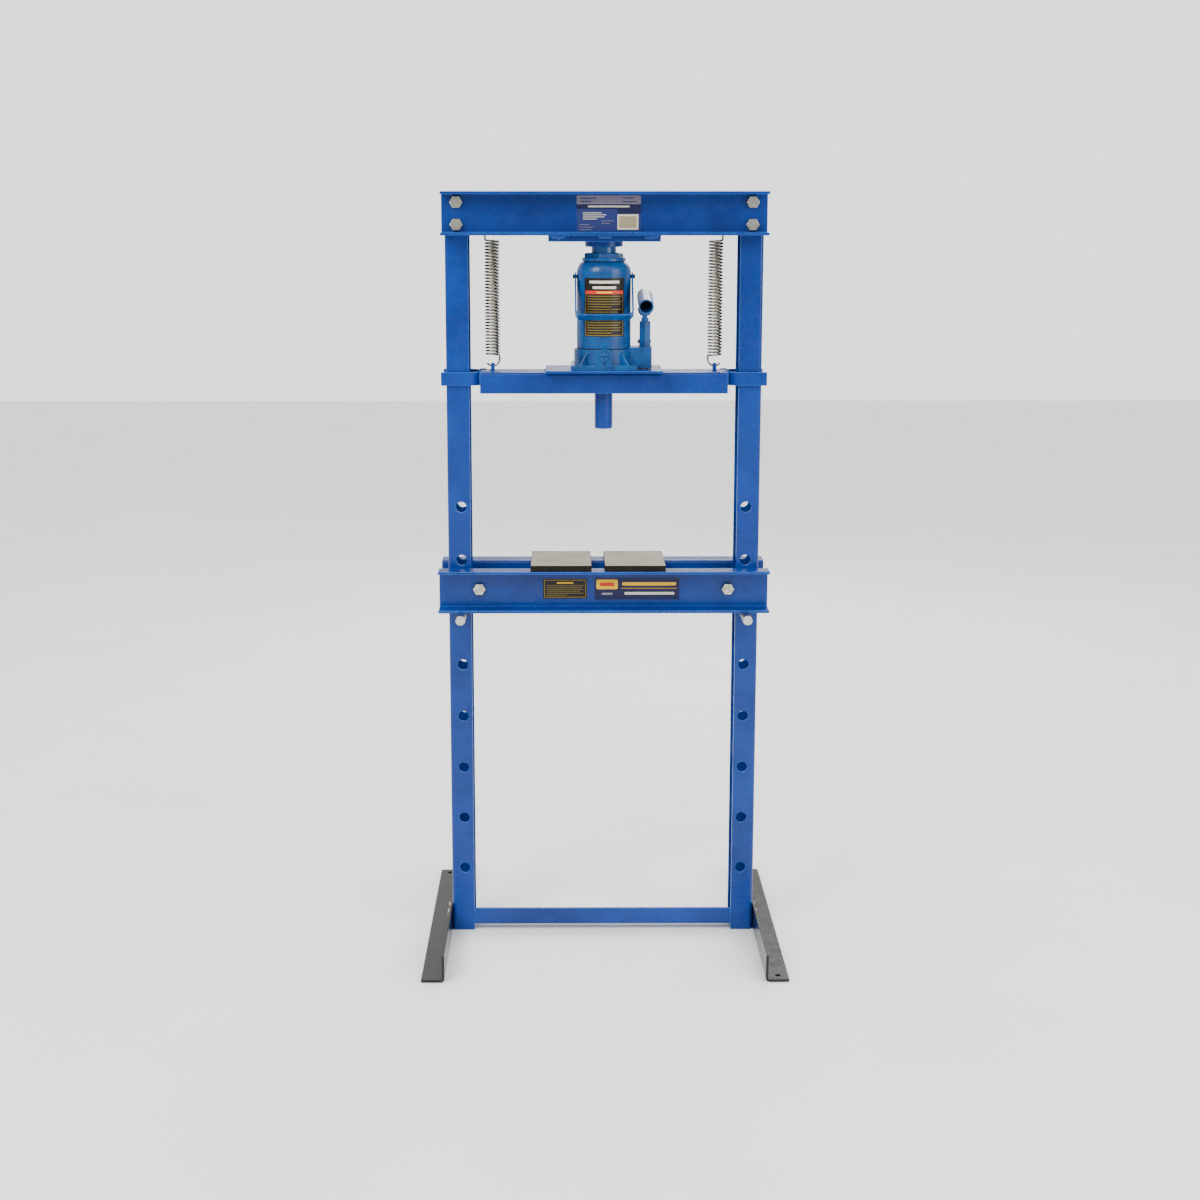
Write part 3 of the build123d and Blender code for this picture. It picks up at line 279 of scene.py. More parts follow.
def makeGroundSteel(name, sprayedAbove=None):
    f = groundFinish
    material, tree, shader, place = startMaterial(name, {"Metallic": 1.0})
    down = 1000 / f["markMm"]
    across = down / f["stretch"]
    around = addNode(tree, "Mapping", {"Vector": place, "Scale": (across, across, down)})
    rings = addNode(tree, "TexNoise", {"Vector": around, "Scale": 1, "Detail": 2})
    share = addNode(tree, "MapRange", {"Value": rings, "From Min": 0.3, "From Max": 0.7})
    colour = addNode(tree, "Mix", {0: share, 6: f["bright"], 7: f["mark"]}, 2, data_type="RGBA")
    haze = addNode(tree, "TexNoise", {"Vector": place, "Scale": 1000 / f["hazeMm"], "Detail": 3})
    smooth, rough = f["roughness"]
    roughness = addNode(tree, "MapRange", {"Value": haze, "From Min": 0.3, "From Max": 0.7,
                                           "To Min": smooth, "To Max": rough})
    if sprayedAbove is not None:
        fade = f["sprayEdgeMm"] * mm
        height = addNode(tree, "SeparateXYZ", {"Vector": place}, "Z")
        sprayed = addNode(tree, "MapRange", {"Value": height, "From Min": sprayedAbove - fade,
                                             "From Max": sprayedAbove + fade})
        colour = addNode(tree, "Mix", {0: sprayed, 6: colour, 7: f["spray"]}, 2, data_type="RGBA")
        bare = addNode(tree, "Math", {0: 1.0, 1: sprayed}, operation="SUBTRACT")
        tree.links.new(bare, shader.inputs["Metallic"])
    endMaterial(tree, shader, colour, roughness, [(rings, 0.02)], 0.5)
    return material


# Flame-cut steel plate: the two faces blasted to a warm satin grey, the cut edges left in black scale
plateFinish = {"face": "#8C8574", "shade": "#777061", "grit": "#5A5447", "scratch": "#A8A190",
               "scale": "#0A0805", "scaleThin": "#1A1712", "cloudMm": 30, "gritMm": 1.6, "dragMm": 1.5,
               "dragStretch": 8, "roughness": (0.42, 0.58)}


def makeCutPlate():
    f = plateFinish
    material, tree, shader, place = startMaterial("flameCutPlateBlastedFace", {"Specular IOR Level": 0.14})
    rise = addNode(tree, "SeparateXYZ", {"Vector": addNode(tree, "TexCoord", out="Normal")}, "Z")
    steep = addNode(tree, "Math", {0: rise}, operation="ABSOLUTE")
    level = addNode(tree, "MapRange", {"Value": steep, "From Min": 0.80, "From Max": 0.97})
    cloud = addNode(tree, "TexNoise", {"Vector": place, "Scale": 1000 / f["cloudMm"], "Detail": 4})
    share = addNode(tree, "MapRange", {"Value": cloud, "From Min": 0.3, "From Max": 0.7})
    face = addNode(tree, "Mix", {0: share, 6: f["face"], 7: f["shade"]}, 2, data_type="RGBA")
    grit = addNode(tree, "TexNoise", {"Vector": place, "Scale": 1000 / f["gritMm"], "Detail": 3})
    pits = addNode(tree, "MapRange", {"Value": grit, "From Min": 0.5, "From Max": 0.75, "To Max": 0.35})
    face = addNode(tree, "Mix", {0: pits, 6: face, 7: f["grit"]}, 2, data_type="RGBA")
    along = addNode(tree, "Mapping", {"Vector": place, "Scale": (60, 830, 830)})   # scratches 1.2 by 17 mm
    lines = addNode(tree, "TexNoise", {"Vector": along, "Scale": 1})
    scratch = addNode(tree, "MapRange", {"Value": lines, "From Min": 0.68, "From Max": 0.74, "To Max": 0.4})
    face = addNode(tree, "Mix", {0: scratch, 6: face, 7: f["scratch"]}, 2, data_type="RGBA")
    across = 1000 / f["dragMm"]
    upright = addNode(tree, "Mapping", {"Vector": place,
                                        "Scale": (across, across, across / f["dragStretch"])})
    drag = addNode(tree, "TexNoise", {"Vector": upright, "Scale": 1})              # the torch's drag lines
    flake = addNode(tree, "MapRange", {"Value": drag, "From Min": 0.35, "From Max": 0.7})
    cut = addNode(tree, "Mix", {0: flake, 6: f["scale"], 7: f["scaleThin"]}, 2, data_type="RGBA")
    colour = addNode(tree, "Mix", {0: level, 6: cut, 7: face}, 2, data_type="RGBA")
    smooth, rough = f["roughness"]
    roughness = addNode(tree, "MapRange", {"Value": grit, "From Min": 0.3, "From Max": 0.7,
                                           "To Min": smooth, "To Max": rough})
    endMaterial(tree, shader, colour, roughness, [(grit, 0.05), (drag, 0.08)], 0.5)
    return material


# Black-oxidised steel: blue-black and satin, rubbed brown at the rims, most on the upper rims as a painted
# highlight
oxideFinish = {"deep": "#0B0C0F", "body": "#1D1F24", "rub": "#5A5348", "cloudMm": 4, "dimpleMm": 1.2,
               "wearAndHighlightMm": 0.7, "wearPatchMm": 3, "wearAndHighlightMost": 0.5, "roughness": (0.28, 0.46)}


def makeBlackOxide():
    f = oxideFinish
    material, tree, shader, place = startMaterial("blackOxidisedSteel", {"Metallic": 0.6})
    cloud = addNode(tree, "TexNoise", {"Vector": place, "Scale": 1000 / f["cloudMm"], "Detail": 3})
    share = addNode(tree, "MapRange", {"Value": cloud, "From Min": 0.3, "From Max": 0.7})
    colour = addNode(tree, "Mix", {0: share, 6: f["deep"], 7: f["body"]}, 2, data_type="RGBA")
    # rubbed rims, weighted to the upper rims as a painted highlight
    wearAndHighlight = edgeWearAndHighlight(tree, place, f)
    colour = addNode(tree, "Mix", {0: wearAndHighlight, 6: colour, 7: f["rub"]}, 2, data_type="RGBA")
    smooth, rough = f["roughness"]
    roughness = addNode(tree, "MapRange", {"Value": cloud, "From Min": 0.3, "From Max": 0.7,
                                           "To Min": smooth, "To Max": rough})
    dimples = addNode(tree, "TexNoise", {"Vector": place, "Scale": 1000 / f["dimpleMm"]})
    endMaterial(tree, shader, colour, roughness, [(dimples, 0.03)], 0.5)
    return material


# Moulded nitrile rubber of the seals: matt and faintly mottled
rubberFinish = {"deep": "#0D0D0D", "body": "#1B1B1A", "cloudMm": 3, "grainMm": 0.8, "roughness": (0.55, 0.75)}


def makeRubber():
    f = rubberFinish
    material, tree, shader, place = startMaterial("mouldedNitrileRubber", {"Specular IOR Level": 0.3})
    cloud = addNode(tree, "TexNoise", {"Vector": place, "Scale": 1000 / f["cloudMm"], "Detail": 3})
    share = addNode(tree, "MapRange", {"Value": cloud, "From Min": 0.3, "From Max": 0.7})
    colour = addNode(tree, "Mix", {0: share, 6: f["deep"], 7: f["body"]}, 2, data_type="RGBA")
    smooth, rough = f["roughness"]
    roughness = addNode(tree, "MapRange", {"Value": cloud, "From Min": 0.3, "From Max": 0.7,
                                           "To Min": smooth, "To Max": rough})
    grain = addNode(tree, "TexNoise", {"Vector": place, "Scale": 1000 / f["grainMm"]})
    endMaterial(tree, shader, colour, roughness, [(grain, 0.03)])
    return material


# Printed vinyl film under a clear laminate: even ink with a slight screen mottle
inkFinish = {"mottleMm": 1.4, "smearMm": 9, "rippleMm": 12, "roughness": (0.30, 0.44)}
inkTints = {"black": ("#0B0907", "#16120C"), "navy": ("#0A0F38", "#141A48"), "mauve": ("#7F7788", "#6B6476"),
            "dusk": ("#1C2A62", "#28346C"), "gold": ("#A07F2C", "#806624"), "yellow": ("#EFC21A", "#DDA90E"),
            "red": ("#D6331C", "#BC2A1A"), "white": ("#D6D2C0", "#C3BEA8"), "grey": ("#8E8C98", "#767480"),
            "khaki": ("#A39A78", "#8C8466"), "olive": ("#84702A", "#5F5120")}


def makeInk(name, tint, shade):
    f = inkFinish
    material, tree, shader, place = startMaterial("vinylInk" + name.capitalize(), {"Specular IOR Level": 0.3})
    mottle = addNode(tree, "TexNoise", {"Vector": place, "Scale": 1000 / f["mottleMm"], "Detail": 3})
    share = addNode(tree, "MapRange", {"Value": mottle, "From Min": 0.3, "From Max": 0.7})
    colour = addNode(tree, "Mix", {0: share, 6: tint, 7: shade}, 2, data_type="RGBA")
    smear = addNode(tree, "TexNoise", {"Vector": place, "Scale": 1000 / f["smearMm"], "Detail": 3})
    smooth, rough = f["roughness"]
    roughness = addNode(tree, "MapRange", {"Value": smear, "From Min": 0.3, "From Max": 0.7,
                                           "To Min": smooth, "To Max": rough})
    ripples = addNode(tree, "TexNoise", {"Vector": place, "Scale": 1000 / f["rippleMm"]})
    endMaterial(tree, shader, colour, roughness, [(ripples, 0.05)])
    return material


print("materials")
castEnamel = makeJackEnamel("enamelOnSandCasting", castSkin)
frameEnamel = makeFrameEnamel()
shadedZincWire = makeZinc("brightZincDarkenedAsShadeOnWire", shadedWireZinc)
inks = {name: makeInk(name, *tints) for name, tints in inkTints.items()}
slotFinish = {"frame_enamel": frameEnamel, "jack_enamel": makeJackEnamel("enamelOnTurnedSteel", turnedSkin),
              "foot_enamel": makeFootEnamel(), "zinc_plate": makeZinc("brightZincOnFasteners", boltZinc),
              "plate_steel": makeCutPlate(), "bar_steel": makeDrawnBar(),
              "ground_steel": makeGroundSteel("groundSteel"), "black_steel": makeBlackOxide(),
              "seal_rubber": makeRubber()}
ramSteel = makeGroundSteel("groundSteelSprayedEnd", float(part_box("jack_cap_nut")[1][2]))
plungerSteel = makeGroundSteel("groundSteelSprayedNeck", float(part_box("pump_cylinder")[1][2]))
nodeFinish = {"jack_base": castEnamel, "handle_socket": castEnamel, "pump_link": castEnamel,
              "jack_ram": ramSteel, "pump_plunger": plungerSteel}
for part in frame["record"]["subparts"]:
    node = frame["nodes"][part["node"]]
    node.data.materials.clear()
    node.data.materials.append(nodeFinish.get(part["node"], slotFinish[part["material_slot"]]))


def gridFaces(rows, columns, wrapped):
    # quads of a grid of rows x columns points; wrapped joins the last column to the first
    row = np.arange(rows - 1)[:, None]
    column = np.arange(columns if wrapped else columns - 1)[None, :]
    after = (column + 1) % columns
    corners = (row * columns + column, row * columns + after,
               (row + 1) * columns + after, (row + 1) * columns + column)
    return np.stack(np.broadcast_arrays(*corners), axis=-1).reshape(-1, 4)


def meshObject(name, points, quads, materials, faceMaterial=None, smooth=True):
    # quads may repeat a corner, which makes that face a triangle
    faces = [tuple(dict.fromkeys(quad)) for quad in quads.tolist()]
    mesh = bpy.data.meshes.new(name)
    mesh.from_pydata(points.tolist(), [], faces)
    for material in materials:
        mesh.materials.append(material)
    if faceMaterial is not None:
        mesh.polygons.foreach_set("material_index", np.asarray(faceMaterial, dtype=np.int32))
    mesh.polygons.foreach_set("use_smooth", np.full(len(mesh.polygons), smooth))
    mesh.update()
    piece = bpy.data.objects.new(name, mesh)
    bpy.context.scene.collection.objects.link(piece)
    return piece


def joinMeshes(parts):
    # several (points, quads) as one, each one's numbers after those before it
    starts = np.cumsum([0] + [len(points) for points, _ in parts[:-1]])
    return (np.concatenate([points for points, _ in parts]),
            np.concatenate([quads + start for start, (_, quads) in zip(starts, parts)]))


def unit(vectors):
    return vectors / np.maximum(np.linalg.norm(vectors, axis=-1, keepdims=True), 1e-12)


def tube(path, side, radius, sides, loop=False):
    # ring at path(t): path + radius(t) (cos a side + sin a (tangent x side)), a = 0..2 pi; a fan closes each
    # open end
    tangent = unit(np.roll(path, -1, 0) - np.roll(path, 1, 0)) if loop else unit(np.gradient(path, axis=0))
    side = unit(side - (side * tangent).sum(1, keepdims=True) * tangent)
    across = np.cross(tangent, side)
    angle = np.linspace(0, turn, sides, endpoint=False)[None, :, None]
    wide = np.broadcast_to(np.asarray(radius, float), (len(path),))[:, None, None]
    rings = wide * (np.cos(angle) * side[:, None] + np.sin(angle) * across[:, None])
    points = (path[:, None] + rings).reshape(-1, 3)
    if loop:
        return points, gridFaces(len(path) + 1, sides, True) % len(points)
    last = len(points)
    rim = np.arange(sides)
    following = (rim + 1) % sides
    first = np.stack([0 * rim + last, following, rim, rim], 1)
    base = last - sides
    final = np.stack([0 * rim + last + 1, base + rim, base + following, base + following], 1)
    return (np.concatenate([points, path[:1], path[-1:]]),
            np.concatenate([gridFaces(len(path), sides, True), first, final]))


# Extension springs of zinc-plated wire, right-handed, with a hook at each end
springSize = {"wire": 3.0, "pitch": 5.2, "lowerBow": 145, "hookRise": 15, "hookTail": 6, "skin": 0.2,
              "stepsPerTurn": 44, "hookSteps": 40, "shankSteps": 12, "sides": 10}        # mm and degrees


def springPath(node, way):
    # upper hook arc, straight shank, helix (r cos t, -r sin t, z falls by a pitch each turn), tail and lower
    # hook
    s = springSize
    low, high = (np.array(corner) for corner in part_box(node))
    axisX, wire = (low[0] + high[0]) / 2, s["wire"] * mm
    r = (high[0] - low[0]) / 2 - wire / 2 - s["skin"] * mm
    upperZ, lowerZ = high[2] - wire / 2 - r, low[2] + wire / 2 + r
    coilTop, coilBottom = upperZ - s["hookRise"] * mm, lowerZ + s["hookTail"] * mm

    def arc(centreZ, start, end):
        a = np.radians(np.linspace(start, end, s["hookSteps"]))
        out = np.stack([way * np.cos(a), 0 * a, np.sin(a)], 1)
        return np.array([axisX, 0, centreZ]) + r * out, out

    def shank(fromZ, toZ, side):
        z = np.linspace(fromZ, toZ, s["shankSteps"])[1:-1]
        out = np.tile([side * way, 0.0, 0.0], (len(z), 1))
        return np.stack([axisX + side * way * r + 0 * z, 0 * z, z], 1), out

    turns = round((coilTop - coilBottom) / (s["pitch"] * mm)) + 0.5
    t = np.linspace(0, turn * turns, int(turns * s["stepsPerTurn"]))
    around = np.stack([way * np.cos(t), -way * np.sin(t), 0 * t], 1)
    coil = np.array([axisX, 0, 0]) + r * around
    coil[:, 2] = coilTop + (coilBottom - coilTop) * t / t[-1]
    runs = [arc(upperZ, 180, 0), shank(upperZ, coilTop, 1), (coil, around),
            shank(coilBottom, lowerZ, -1), arc(lowerZ, 180, 180 + s["lowerBow"])]
    path = np.concatenate([points for points, _ in runs])
    side = np.concatenate([outs for _, outs in runs])
    kernel = np.ones(5) / 5                                   # eases the bends from shank to coil
    for values in (path, side):
        values[2:-2] = np.stack([np.convolve(values[:, k], kernel, "valid") for k in range(3)], 1)
    return path, side, float(coilTop), float(coilBottom)


print("return springs")
for node, way in (("left_spring", -1), ("right_spring", 1)):
    path, side, coilTop, coilBottom = springPath(node, way)
    mesh = tube(path, side, springSize["wire"] * mm / 2, springSize["sides"])
    piece = meshObject(node + "_wire", *mesh, [shadedZincWire])
    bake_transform(piece)
    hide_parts(node)


# Hand-laid weld beads under the enamel: the ripples are the puddle's freezing lines
beadSize = {"rippleMm": 3.4, "rippleShare": 0.13, "wanderShare": 0.10, "stepMm": 0.7, "ringSteps": 150,
            "sides": 12}


def bead(start, end, out, radiusMm, seed):
    # rod along start..end: radius r sqrt(1 - (2u - 1)^6) (1 + ripple cos(2 pi s / p) + slow wander), with u
    # from 0 to 1; each bead's own seed gives its wander
    start, end, out = (np.array(v, float) for v in (start, end, out))
    length, radius = np.linalg.norm(end - start), radiusMm * mm
    u = np.linspace(0, 1, max(int(length / (beadSize["stepMm"] * mm)), 12))
    wander = np.random.default_rng(seed).normal(0, 1, (4, 2))
    waves = sum(wander[k, 0] * np.sin(turn * ((k + 1) * u + wander[k, 1])) / (k + 2) for k in range(4))
    ripple = beadSize["rippleShare"] * np.cos(turn * u * length / (beadSize["rippleMm"] * mm) + wander[0, 0])
    taper = np.sqrt(np.maximum(1 - (2 * u - 1) ** 6, 0.02))
    wide = radius * taper * (1 + ripple + beadSize["wanderShare"] * waves)
    path = start + (end - start) * u[:, None] + out * (radius * beadSize["wanderShare"] * waves)[:, None]
    return tube(path, np.tile(out, (len(u), 1)), wide, beadSize["sides"])


def ringBead(centre, first, second, ringMm, radiusMm, seed):
    # closed ring in the plane of first and second: radius r (1 + ripple cos(n a) + slow wander), a = 0..2 pi
    a = np.linspace(0, turn, beadSize["ringSteps"], endpoint=False)
    out = np.cos(a)[:, None] * np.array(first, float) + np.sin(a)[:, None] * np.array(second, float)
    phase = np.random.default_rng(seed).uniform(0, turn, 4)
    waves = sum(np.sin((k + 1) * a + phase[k]) / (k + 2) for k in range(4))
    count = round(turn * ringMm / beadSize["rippleMm"])
    wide = radiusMm * mm * (1 + beadSize["rippleShare"] * np.cos(count * a) + beadSize["wanderShare"] * waves)
    return tube(np.array(centre, float) + ringMm * mm * out, out, wide, beadSize["sides"], loop=True)


def weldPiece(name, beads, body, replaced=None):
    piece = meshObject(name, *joinMeshes(beads), [frameEnamel])
    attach(piece, body)
    if replaced:
        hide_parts(replaced)


# Six short fillets hold the stop plate under the head beams, three along each long edge
stopWeld = {"radius": 5.0, "length": 26, "outBy": 0.8, "downBy": 1.2}      # mm


def layStopWelds():
    s = stopWeld
    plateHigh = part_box("jack_stop_plate")[1]
    low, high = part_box("stop_plate_welds")
    half = s["length"] * mm / 2
    reach = (high[0] - low[0]) / 2 - half
    z = plateHigh[2] - s["downBy"] * mm
    beads = []
    for k, middle in enumerate((-reach, 0, reach)):
        for face in (-1, 1):
            y = face * (plateHigh[1] + s["outBy"] * mm)
            beads.append(bead((middle - half, y, z), (middle + half, y, z), (0, face, -1), s["radius"],
                              10 + 2 * k + face))
    weldPiece("stop_plate_weld_beads", beads, "frame", "stop_plate_welds")


# The bolster's welds: guide bars to its ends and top, spring eyes, seat plate and punch
bolsterWeld = {"guideRadii": (2.4, 2.0), "guideMiddle": 5.0, "guideShift": 3.0, "topRadius": 1.8,
               "topInner": 9, "topOuter": 3, "eyeRadius": 1.7, "eyeInset": 3.0, "eyeHalfWidth": 3.4,
               "eyeHalfLength": 6.5, "seatRadius": 2.2, "seatHalfLength": 28, "punchRing": 15.2,
               "punchRadius": 2.0}      # mm


def layBolsterWelds():
    s = {key: value * mm for key, value in bolsterWeld.items() if key != "guideRadii"}
    low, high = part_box("bolster_beam")
    beads = []
    for k, name in enumerate(("left_front", "left_rear", "right_front", "right_rear")):
        barLow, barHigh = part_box(name + "_guide_bar")
        side, face = (-1 if k < 2 else 1), (-1 if k % 2 == 0 else 1)
        y = face * (min(abs(barLow[1]), abs(barHigh[1])) + s["guideMiddle"])
        for shift, radius in zip((s["guideShift"], -s["guideShift"]), bolsterWeld["guideRadii"]):
            beads.append(bead((side * high[0], y + shift, barLow[2] + mm),
                              (side * high[0], y + shift, barHigh[2] - mm),
                              (side, 0, 0), radius, 30 + 2 * k + int(shift > 0)))
        beads.append(bead((side * (high[0] - s["topInner"]), y, high[2]),
                          (side * (high[0] + s["topOuter"]), y, high[2]),
                          (0, 0, 1), bolsterWeld["topRadius"], 50 + k))
    eyeReach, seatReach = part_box("spring_eyes")[1][0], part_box("jack_seat_plate")[1][0]
    for k, side in enumerate((-1, 1)):
        for face in (-1, 1):
            x = side * (eyeReach - s["eyeInset"]) + face * s["eyeHalfWidth"]
            beads.append(bead((x, -s["eyeHalfLength"], high[2]), (x, s["eyeHalfLength"], high[2]),
                              (face, 0, 0), bolsterWeld["eyeRadius"], 60 + 2 * k + face))
        x = side * seatReach
        beads.append(bead((x, -s["seatHalfLength"], high[2]), (x, s["seatHalfLength"], high[2]),
                          (side, 0, 0), bolsterWeld["seatRadius"], 70 + k))
    beads.append(ringBead((0, 0, low[2]), (1, 0, 0), (0, 1, 0), bolsterWeld["punchRing"],
                          bolsterWeld["punchRadius"], 80))
    weldPiece("bolster_weld_beads", beads, "carriage")


# The frame's welds: lower crossbar to the posts, and a ring round each end of the spring hanger rods
frameWeld = {"barRadius": 2.2, "barInset": 0.6, "barEnd": 2.0, "rodInset": 4.0, "rodRing": 4.2,
             "rodRadius": 1.6}      # mm


def layFrameWelds():
    s = {key: value * mm for key, value in frameWeld.items()}
    low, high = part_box("lower_crossbar")
    rodLow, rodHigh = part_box("spring_hanger_rods")
    beads = []
    for k, side in enumerate((-1, 1)):
        x, y, z = side * high[0], low[1] + s["barInset"], low[2] + 2 * s["barEnd"]
        beads.append(bead((x, y, low[2] + s["barEnd"]), (x, y, high[2] - s["barEnd"]), (-side, -1, 0),
                          frameWeld["barRadius"], 90 + k))
        beads.append(bead((x, low[1] + s["barEnd"], z), (x, high[1] - s["barEnd"], z), (-side, 0, 1),
                          frameWeld["barRadius"], 94 + k))
        for face in (-1, 1):
            centre = (side * (rodHigh[0] - s["rodInset"]), face * (rodHigh[1] - s["barInset"]),
                      (rodLow[2] + rodHigh[2]) / 2)
            beads.append(ringBead(centre, (1, 0, 0), (0, 0, 1), frameWeld["rodRing"], frameWeld["rodRadius"],
                                  98 + 2 * k + face))
    weldPiece("frame_weld_beads", beads, "frame")


print("weld beads")
layStopWelds()
layBolsterWelds()
layFrameWelds()

# Printed panels: plain fields and rules, with no lettering. Each layer of ink stands a little off the one
# below it
film = {"liftMm": 0.12, "sunkLayers": 1.6, "columns": 33}
inkNames = list(inks)


def filmPatch(left, right, low, high, corner, layer, surface):
    # x = middle + a sin(pi u / 2); z = middle + v h(x), h = b - r + sqrt(r^2 - max(|x| - a + r, 0)^2), with u
    # and v from -1 to 1
    columns = film["columns"]
    halfX, halfZ = (right - left) / 2, (high - low) / 2
    corner = min(corner, halfX, halfZ)
    x = halfX * np.sin(math.pi / 2 * np.linspace(-1, 1, columns))
    beyond = np.minimum(np.maximum(np.abs(x) - halfX + corner, 0), corner * 0.999)
    tall = halfZ - corner + np.sqrt(corner ** 2 - beyond ** 2)
    x = np.tile((left + right) / 2 + x, (2, 1))
    z = (low + high) / 2 + np.array([[-1.0], [1.0]]) * tall
    lift = film["liftMm"] * mm
    top = surface(x, z, lift * layer).reshape(-1, 3)
    under = surface(x, z, lift * (layer - film["sunkLayers"])).reshape(-1, 3)
    front = gridFaces(2, columns, False)
    rim = np.concatenate([np.arange(columns), np.arange(2 * columns - 1, columns - 1, -1)])
    after = np.roll(rim, -1)
    walls = np.stack([rim + len(top), after + len(top), after, rim], 1)
    return np.concatenate([top, under]), np.concatenate([front, front[:, ::-1] + len(top), walls])


def flatFace(y):
    # on a plane that faces the operator: (x, y - lift, z)
    return lambda x, z, lift: np.stack([x, y - lift + 0 * x, z], -1)


def roundFace(r):
    # wrapped on a cylinder about Z: ((r + lift) sin(x / r), -(r + lift) cos(x / r), z)
    return lambda x, z, lift: np.stack([(r + lift) * np.sin(x / r), -(r + lift) * np.cos(x / r), z], -1)


def rules(left, right, low, high, count, thick, layer, ink, shares=(1.0,)):
    # evenly spaced plain rules from top to bottom; shares gives how much of the width each one fills
    pitch = (high - low) / max(count - 1, 1)
    return [(left, left + (right - left) * shares[k % len(shares)], high - k * pitch - thick / 2,
             high - k * pitch + thick / 2, thick / 2, layer, ink) for k in range(count)]


def printedPanel(name, patches, middleX, middleZ, surface, body):
    # patches are (left, right, low, high, corner, layer, ink), in mm from the panel's middle
    meshes = []
    for left, right, low, high, corner, layer, _ in patches:
        meshes.append(filmPatch(left * mm + middleX, right * mm + middleX, low * mm + middleZ,
                                high * mm + middleZ, corner * mm, layer, surface))
    faceInk = np.repeat([inkNames.index(patch[6]) for patch in patches], [len(quads) for _, quads in meshes])
    piece = meshObject(name, *joinMeshes(meshes), list(inks.values()), faceInk, smooth=False)
    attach(piece, body)


# Rating panel on the head beam: mauve header, navy band, dusk-blue body, and a white box round khaki at the
# right
ratingPanel = {"middle": 7, "patches": [
    (-52, 52, -28.5, 28.5, 1.5, 1, "dusk"), (-52, 52, 14.5, 28.5, 1.5, 2, "mauve"),
    (-52, 52, 7, 14.5, 0.5, 2, "navy"), (14, 52, -1, 14, 0.5, 3, "navy"),
    (14, 48, -26, -1.5, 0.8, 4, "white"), (17, 45, -23, -4.5, 0.5, 5, "khaki"),
    *rules(-34, 34, 11, 11, 1, 2.6, 5, "white"), *rules(-46, -20, 19, 24, 2, 2, 3, "dusk", (1.0, 0.7)),
    *rules(22, 46, 18.5, 24.5, 2, 1.6, 3, "dusk", (0.8, 1.0)),
    *rules(-42, -4, -9, 1, 4, 1.2, 3, "white", (0.8, 1.0, 0.92, 0.6)),
    *rules(-12, 8, -16, -12, 2, 1.0, 3, "mauve", (1.0, 0.7)),
    *rules(-48, -24, -26, -18, 3, 1.0, 3, "mauve", (0.7, 1.0, 0.85))]}
# Caution panel on the bed: black with a gold border, a yellow title rule and olive rules
cautionPanel = {"middle": -64.5, "patches": [
    (-37, 37, -17, 17, 1.5, 1, "black"), (-35, 35, -15, 15, 1.2, 2, "gold"),
    (-34, 34, -14, 14, 0.8, 3, "black"),
    *rules(-14, 14, 10, 10, 1, 2.4, 4, "yellow"),
    *rules(-31, 31, -11, 5.5, 6, 1.1, 4, "olive", (1.0, 0.96, 1.0, 0.9, 1.0, 0.55))]}
# Name panel on the bed, left blank: navy with a yellow box round red, a grey bar under it and three rules
namePanel = {"middle": 56, "patches": [
    (-71, 71, -18.5, 18.5, 1.5, 1, "navy"), (-68, -32, -1, 15.5, 3, 2, "yellow"),
    (-62, -38, 4, 10.5, 2.6, 3, "red"), (-59, -41, -10.5, -7, 1.5, 3, "grey"),
    *rules(-25, 66, 8.2, 8.2, 1, 5.6, 3, "yellow"),
    *rules(-27, 67, 0.6, 0.6, 1, 1.8, 3, "gold"), *rules(-21, 63, -8, -8, 1, 4.4, 3, "white")]}
# Instruction panel on the jack: black, two white title rules, a red stripe with a yellow bar, and olive rules
# in a gold border
tankPanel = {"middle": 67.7, "patches": [
    (-35.5, 35.5, -47.5, 47.5, 1.5, 1, "black"), (-33.5, 33.5, -46, 27, 0.8, 2, "gold"),
    (-32.5, 32.5, -45, 21.5, 0.5, 3, "black"), (-33.5, 33.5, 21.5, 27, 0.4, 3, "red"),
    (-13, 13, 22.9, 25.6, 0.8, 4, "yellow"), *rules(-26, 26, 41, 41, 1, 4.4, 2, "white"),
    *rules(-20, 20, 32, 32, 1, 4.2, 2, "white"),
    *rules(-30, 30, -41.5, 18, 15, 1.5, 4, "olive", (1.0, 0.94, 1.0, 0.97, 0.7, 1.0, 0.9, 1.0, 0.6, 0.95))]}

print("printed panels")
channelWall = 4.5 * mm        # a channel's web is this thick, and the panels lie on its front face
for panel, name, beam, body in ((ratingPanel, "head_beam_panel", "top_beam", "frame"),
                                (cautionPanel, "bed_caution_panel", "bed_channel", "bed"),
                                (namePanel, "bed_name_panel", "bed_channel", "bed")):
    low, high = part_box(beam + "_front")
    webFace = float(-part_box(beam + "_rear")[0][1] - channelWall)
    printedPanel(name, panel["patches"], panel["middle"] * mm, (low[2] + high[2]) / 2, flatFace(webFace),
                 body)
low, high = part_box("jack_tank")
printedPanel("jack_tank_panel", tankPanel["patches"], 0, low[2] + tankPanel["middle"] * mm,
             roundFace(float(high[0])), "carriage")

# Pale satin lino and soft light
floorFinish = {"pale": "#F6F6F5", "shade": "#F0F0EF", "half": 9.0, "steps": 25, "dropMm": 1.2,
               "rippleMm": 0.2, "cloudMm": 400, "grainMm": 30, "roughness": (0.62, 0.72)}
skyLight = {"overhead": 1.9, "horizon": 0.55, "backdrop": 1.9}
softboxes = {"keySoftbox": {"place": (-1.9, -2.4, 2.9), "target": (0, 0, 0.8), "size": 1.6, "power": 95},
             "fillSoftbox": {"place": (2.3, -1.9, 1.7), "target": (0, 0, 0.7), "size": 1.8, "power": 45},
             "rearSoftbox": {"place": (0.6, 2.6, 2.6), "target": (0, 0, 0.9), "size": 1.8, "power": 60}}


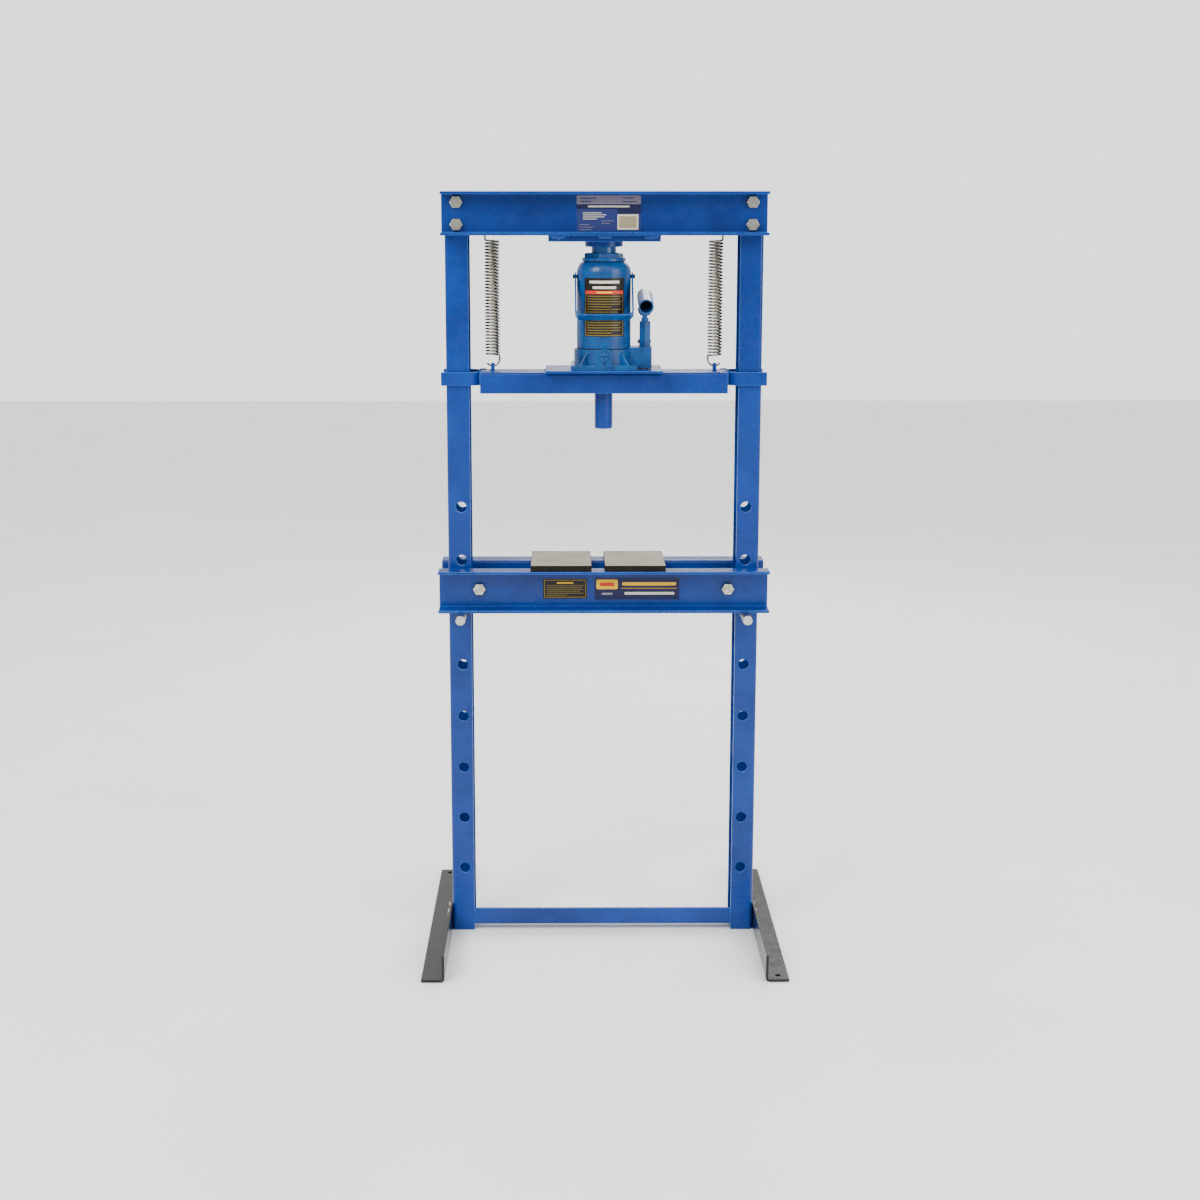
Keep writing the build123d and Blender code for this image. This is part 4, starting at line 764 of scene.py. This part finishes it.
def makeFloor():
    # large square whose height is a slow ripple: -drop - ripple cos 3x cos 2y
    f = floorFinish
    x, y = np.meshgrid(*[np.linspace(-f["half"], f["half"], f["steps"])] * 2, indexing="xy")
    z = -f["dropMm"] * mm - f["rippleMm"] * mm * np.cos(3 * x) * np.cos(2 * y)
    material, tree, shader, place = startMaterial("paleSatinLino", {"Specular IOR Level": 0.3})
    cloud = addNode(tree, "TexNoise", {"Vector": place, "Scale": 1000 / f["cloudMm"], "Detail": 3})
    share = addNode(tree, "MapRange", {"Value": cloud, "From Min": 0.3, "From Max": 0.7})
    colour = addNode(tree, "Mix", {0: share, 6: f["pale"], 7: f["shade"]}, 2, data_type="RGBA")
    smooth, rough = f["roughness"]
    roughness = addNode(tree, "MapRange", {"Value": cloud, "From Min": 0.3, "From Max": 0.7,
                                           "To Min": smooth, "To Max": rough})
    grain = addNode(tree, "TexNoise", {"Vector": place, "Scale": 1000 / f["grainMm"]})
    endMaterial(tree, shader, colour, roughness, [(grain, 0.05)])
    meshObject("studio_floor", np.stack([x, y, z], -1).reshape(-1, 3),
                        gridFaces(f["steps"], f["steps"], False), [material])


def makeSky():
    # light that falls from overhead to the horizon, behind an even pale backdrop
    world = bpy.data.worlds.new("paleStudio")
    world.use_nodes = True
    tree = world.node_tree
    height = addNode(tree, "SeparateXYZ", {"Vector": addNode(tree, "TexCoord", out="Generated")}, "Z")
    dome = addNode(tree, "MapRange", {"Value": height, "From Min": 0.05, "From Max": 0.8,
                                      "To Min": skyLight["horizon"], "To Max": skyLight["overhead"]})
    seen = addNode(tree, "LightPath", out="Is Camera Ray")
    strength = addNode(tree, "Mix", {0: seen, 2: dome, 3: skyLight["backdrop"]}, 0)
    tree.links.new(strength, tree.nodes["Background"].inputs["Strength"])
    tree.nodes["Background"].inputs["Color"].default_value = linear("#FFFFFF")
    bpy.context.scene.world = world


def makeSoftbox(name, box):
    lamp = bpy.data.lights.new(name, "AREA")
    lamp.shape, lamp.size, lamp.energy = "SQUARE", box["size"], box["power"]
    lampObject = bpy.data.objects.new(name, lamp)
    lampObject.location = box["place"]
    aim = Vector(box["target"]) - Vector(box["place"])
    lampObject.rotation_euler = aim.to_track_quat("-Z", "Y").to_euler()
    bpy.context.scene.collection.objects.link(lampObject)


print("stage and light")
makeFloor()
makeSky()
for name, box in softboxes.items():
    makeSoftbox(name, box)

# Chest height, just left of the middle, looking slightly down: metres, radians, and lens and sensor in mm
cameraPlace = {"eye": (-0.06057, -3.0033, 1.224), "yaw": 0.0052, "pitch": -0.1721, "lens": 54.2,
               "sensor": 36, "shift": (0.0195, -0.06)}


def makeCamera():
    c = cameraPlace
    camera = bpy.data.cameras.new("frontCamera")
    camera.lens, camera.sensor_width = c["lens"], c["sensor"]
    camera.shift_x, camera.shift_y = c["shift"]
    cameraObject = bpy.data.objects.new("frontCamera", camera)
    cameraObject.location = c["eye"]
    cameraObject.rotation_euler = (math.pi / 2 + c["pitch"], 0, -c["yaw"])
    bpy.context.scene.collection.objects.link(cameraObject)
    bpy.context.scene.camera = cameraObject


print("camera")
makeCamera()
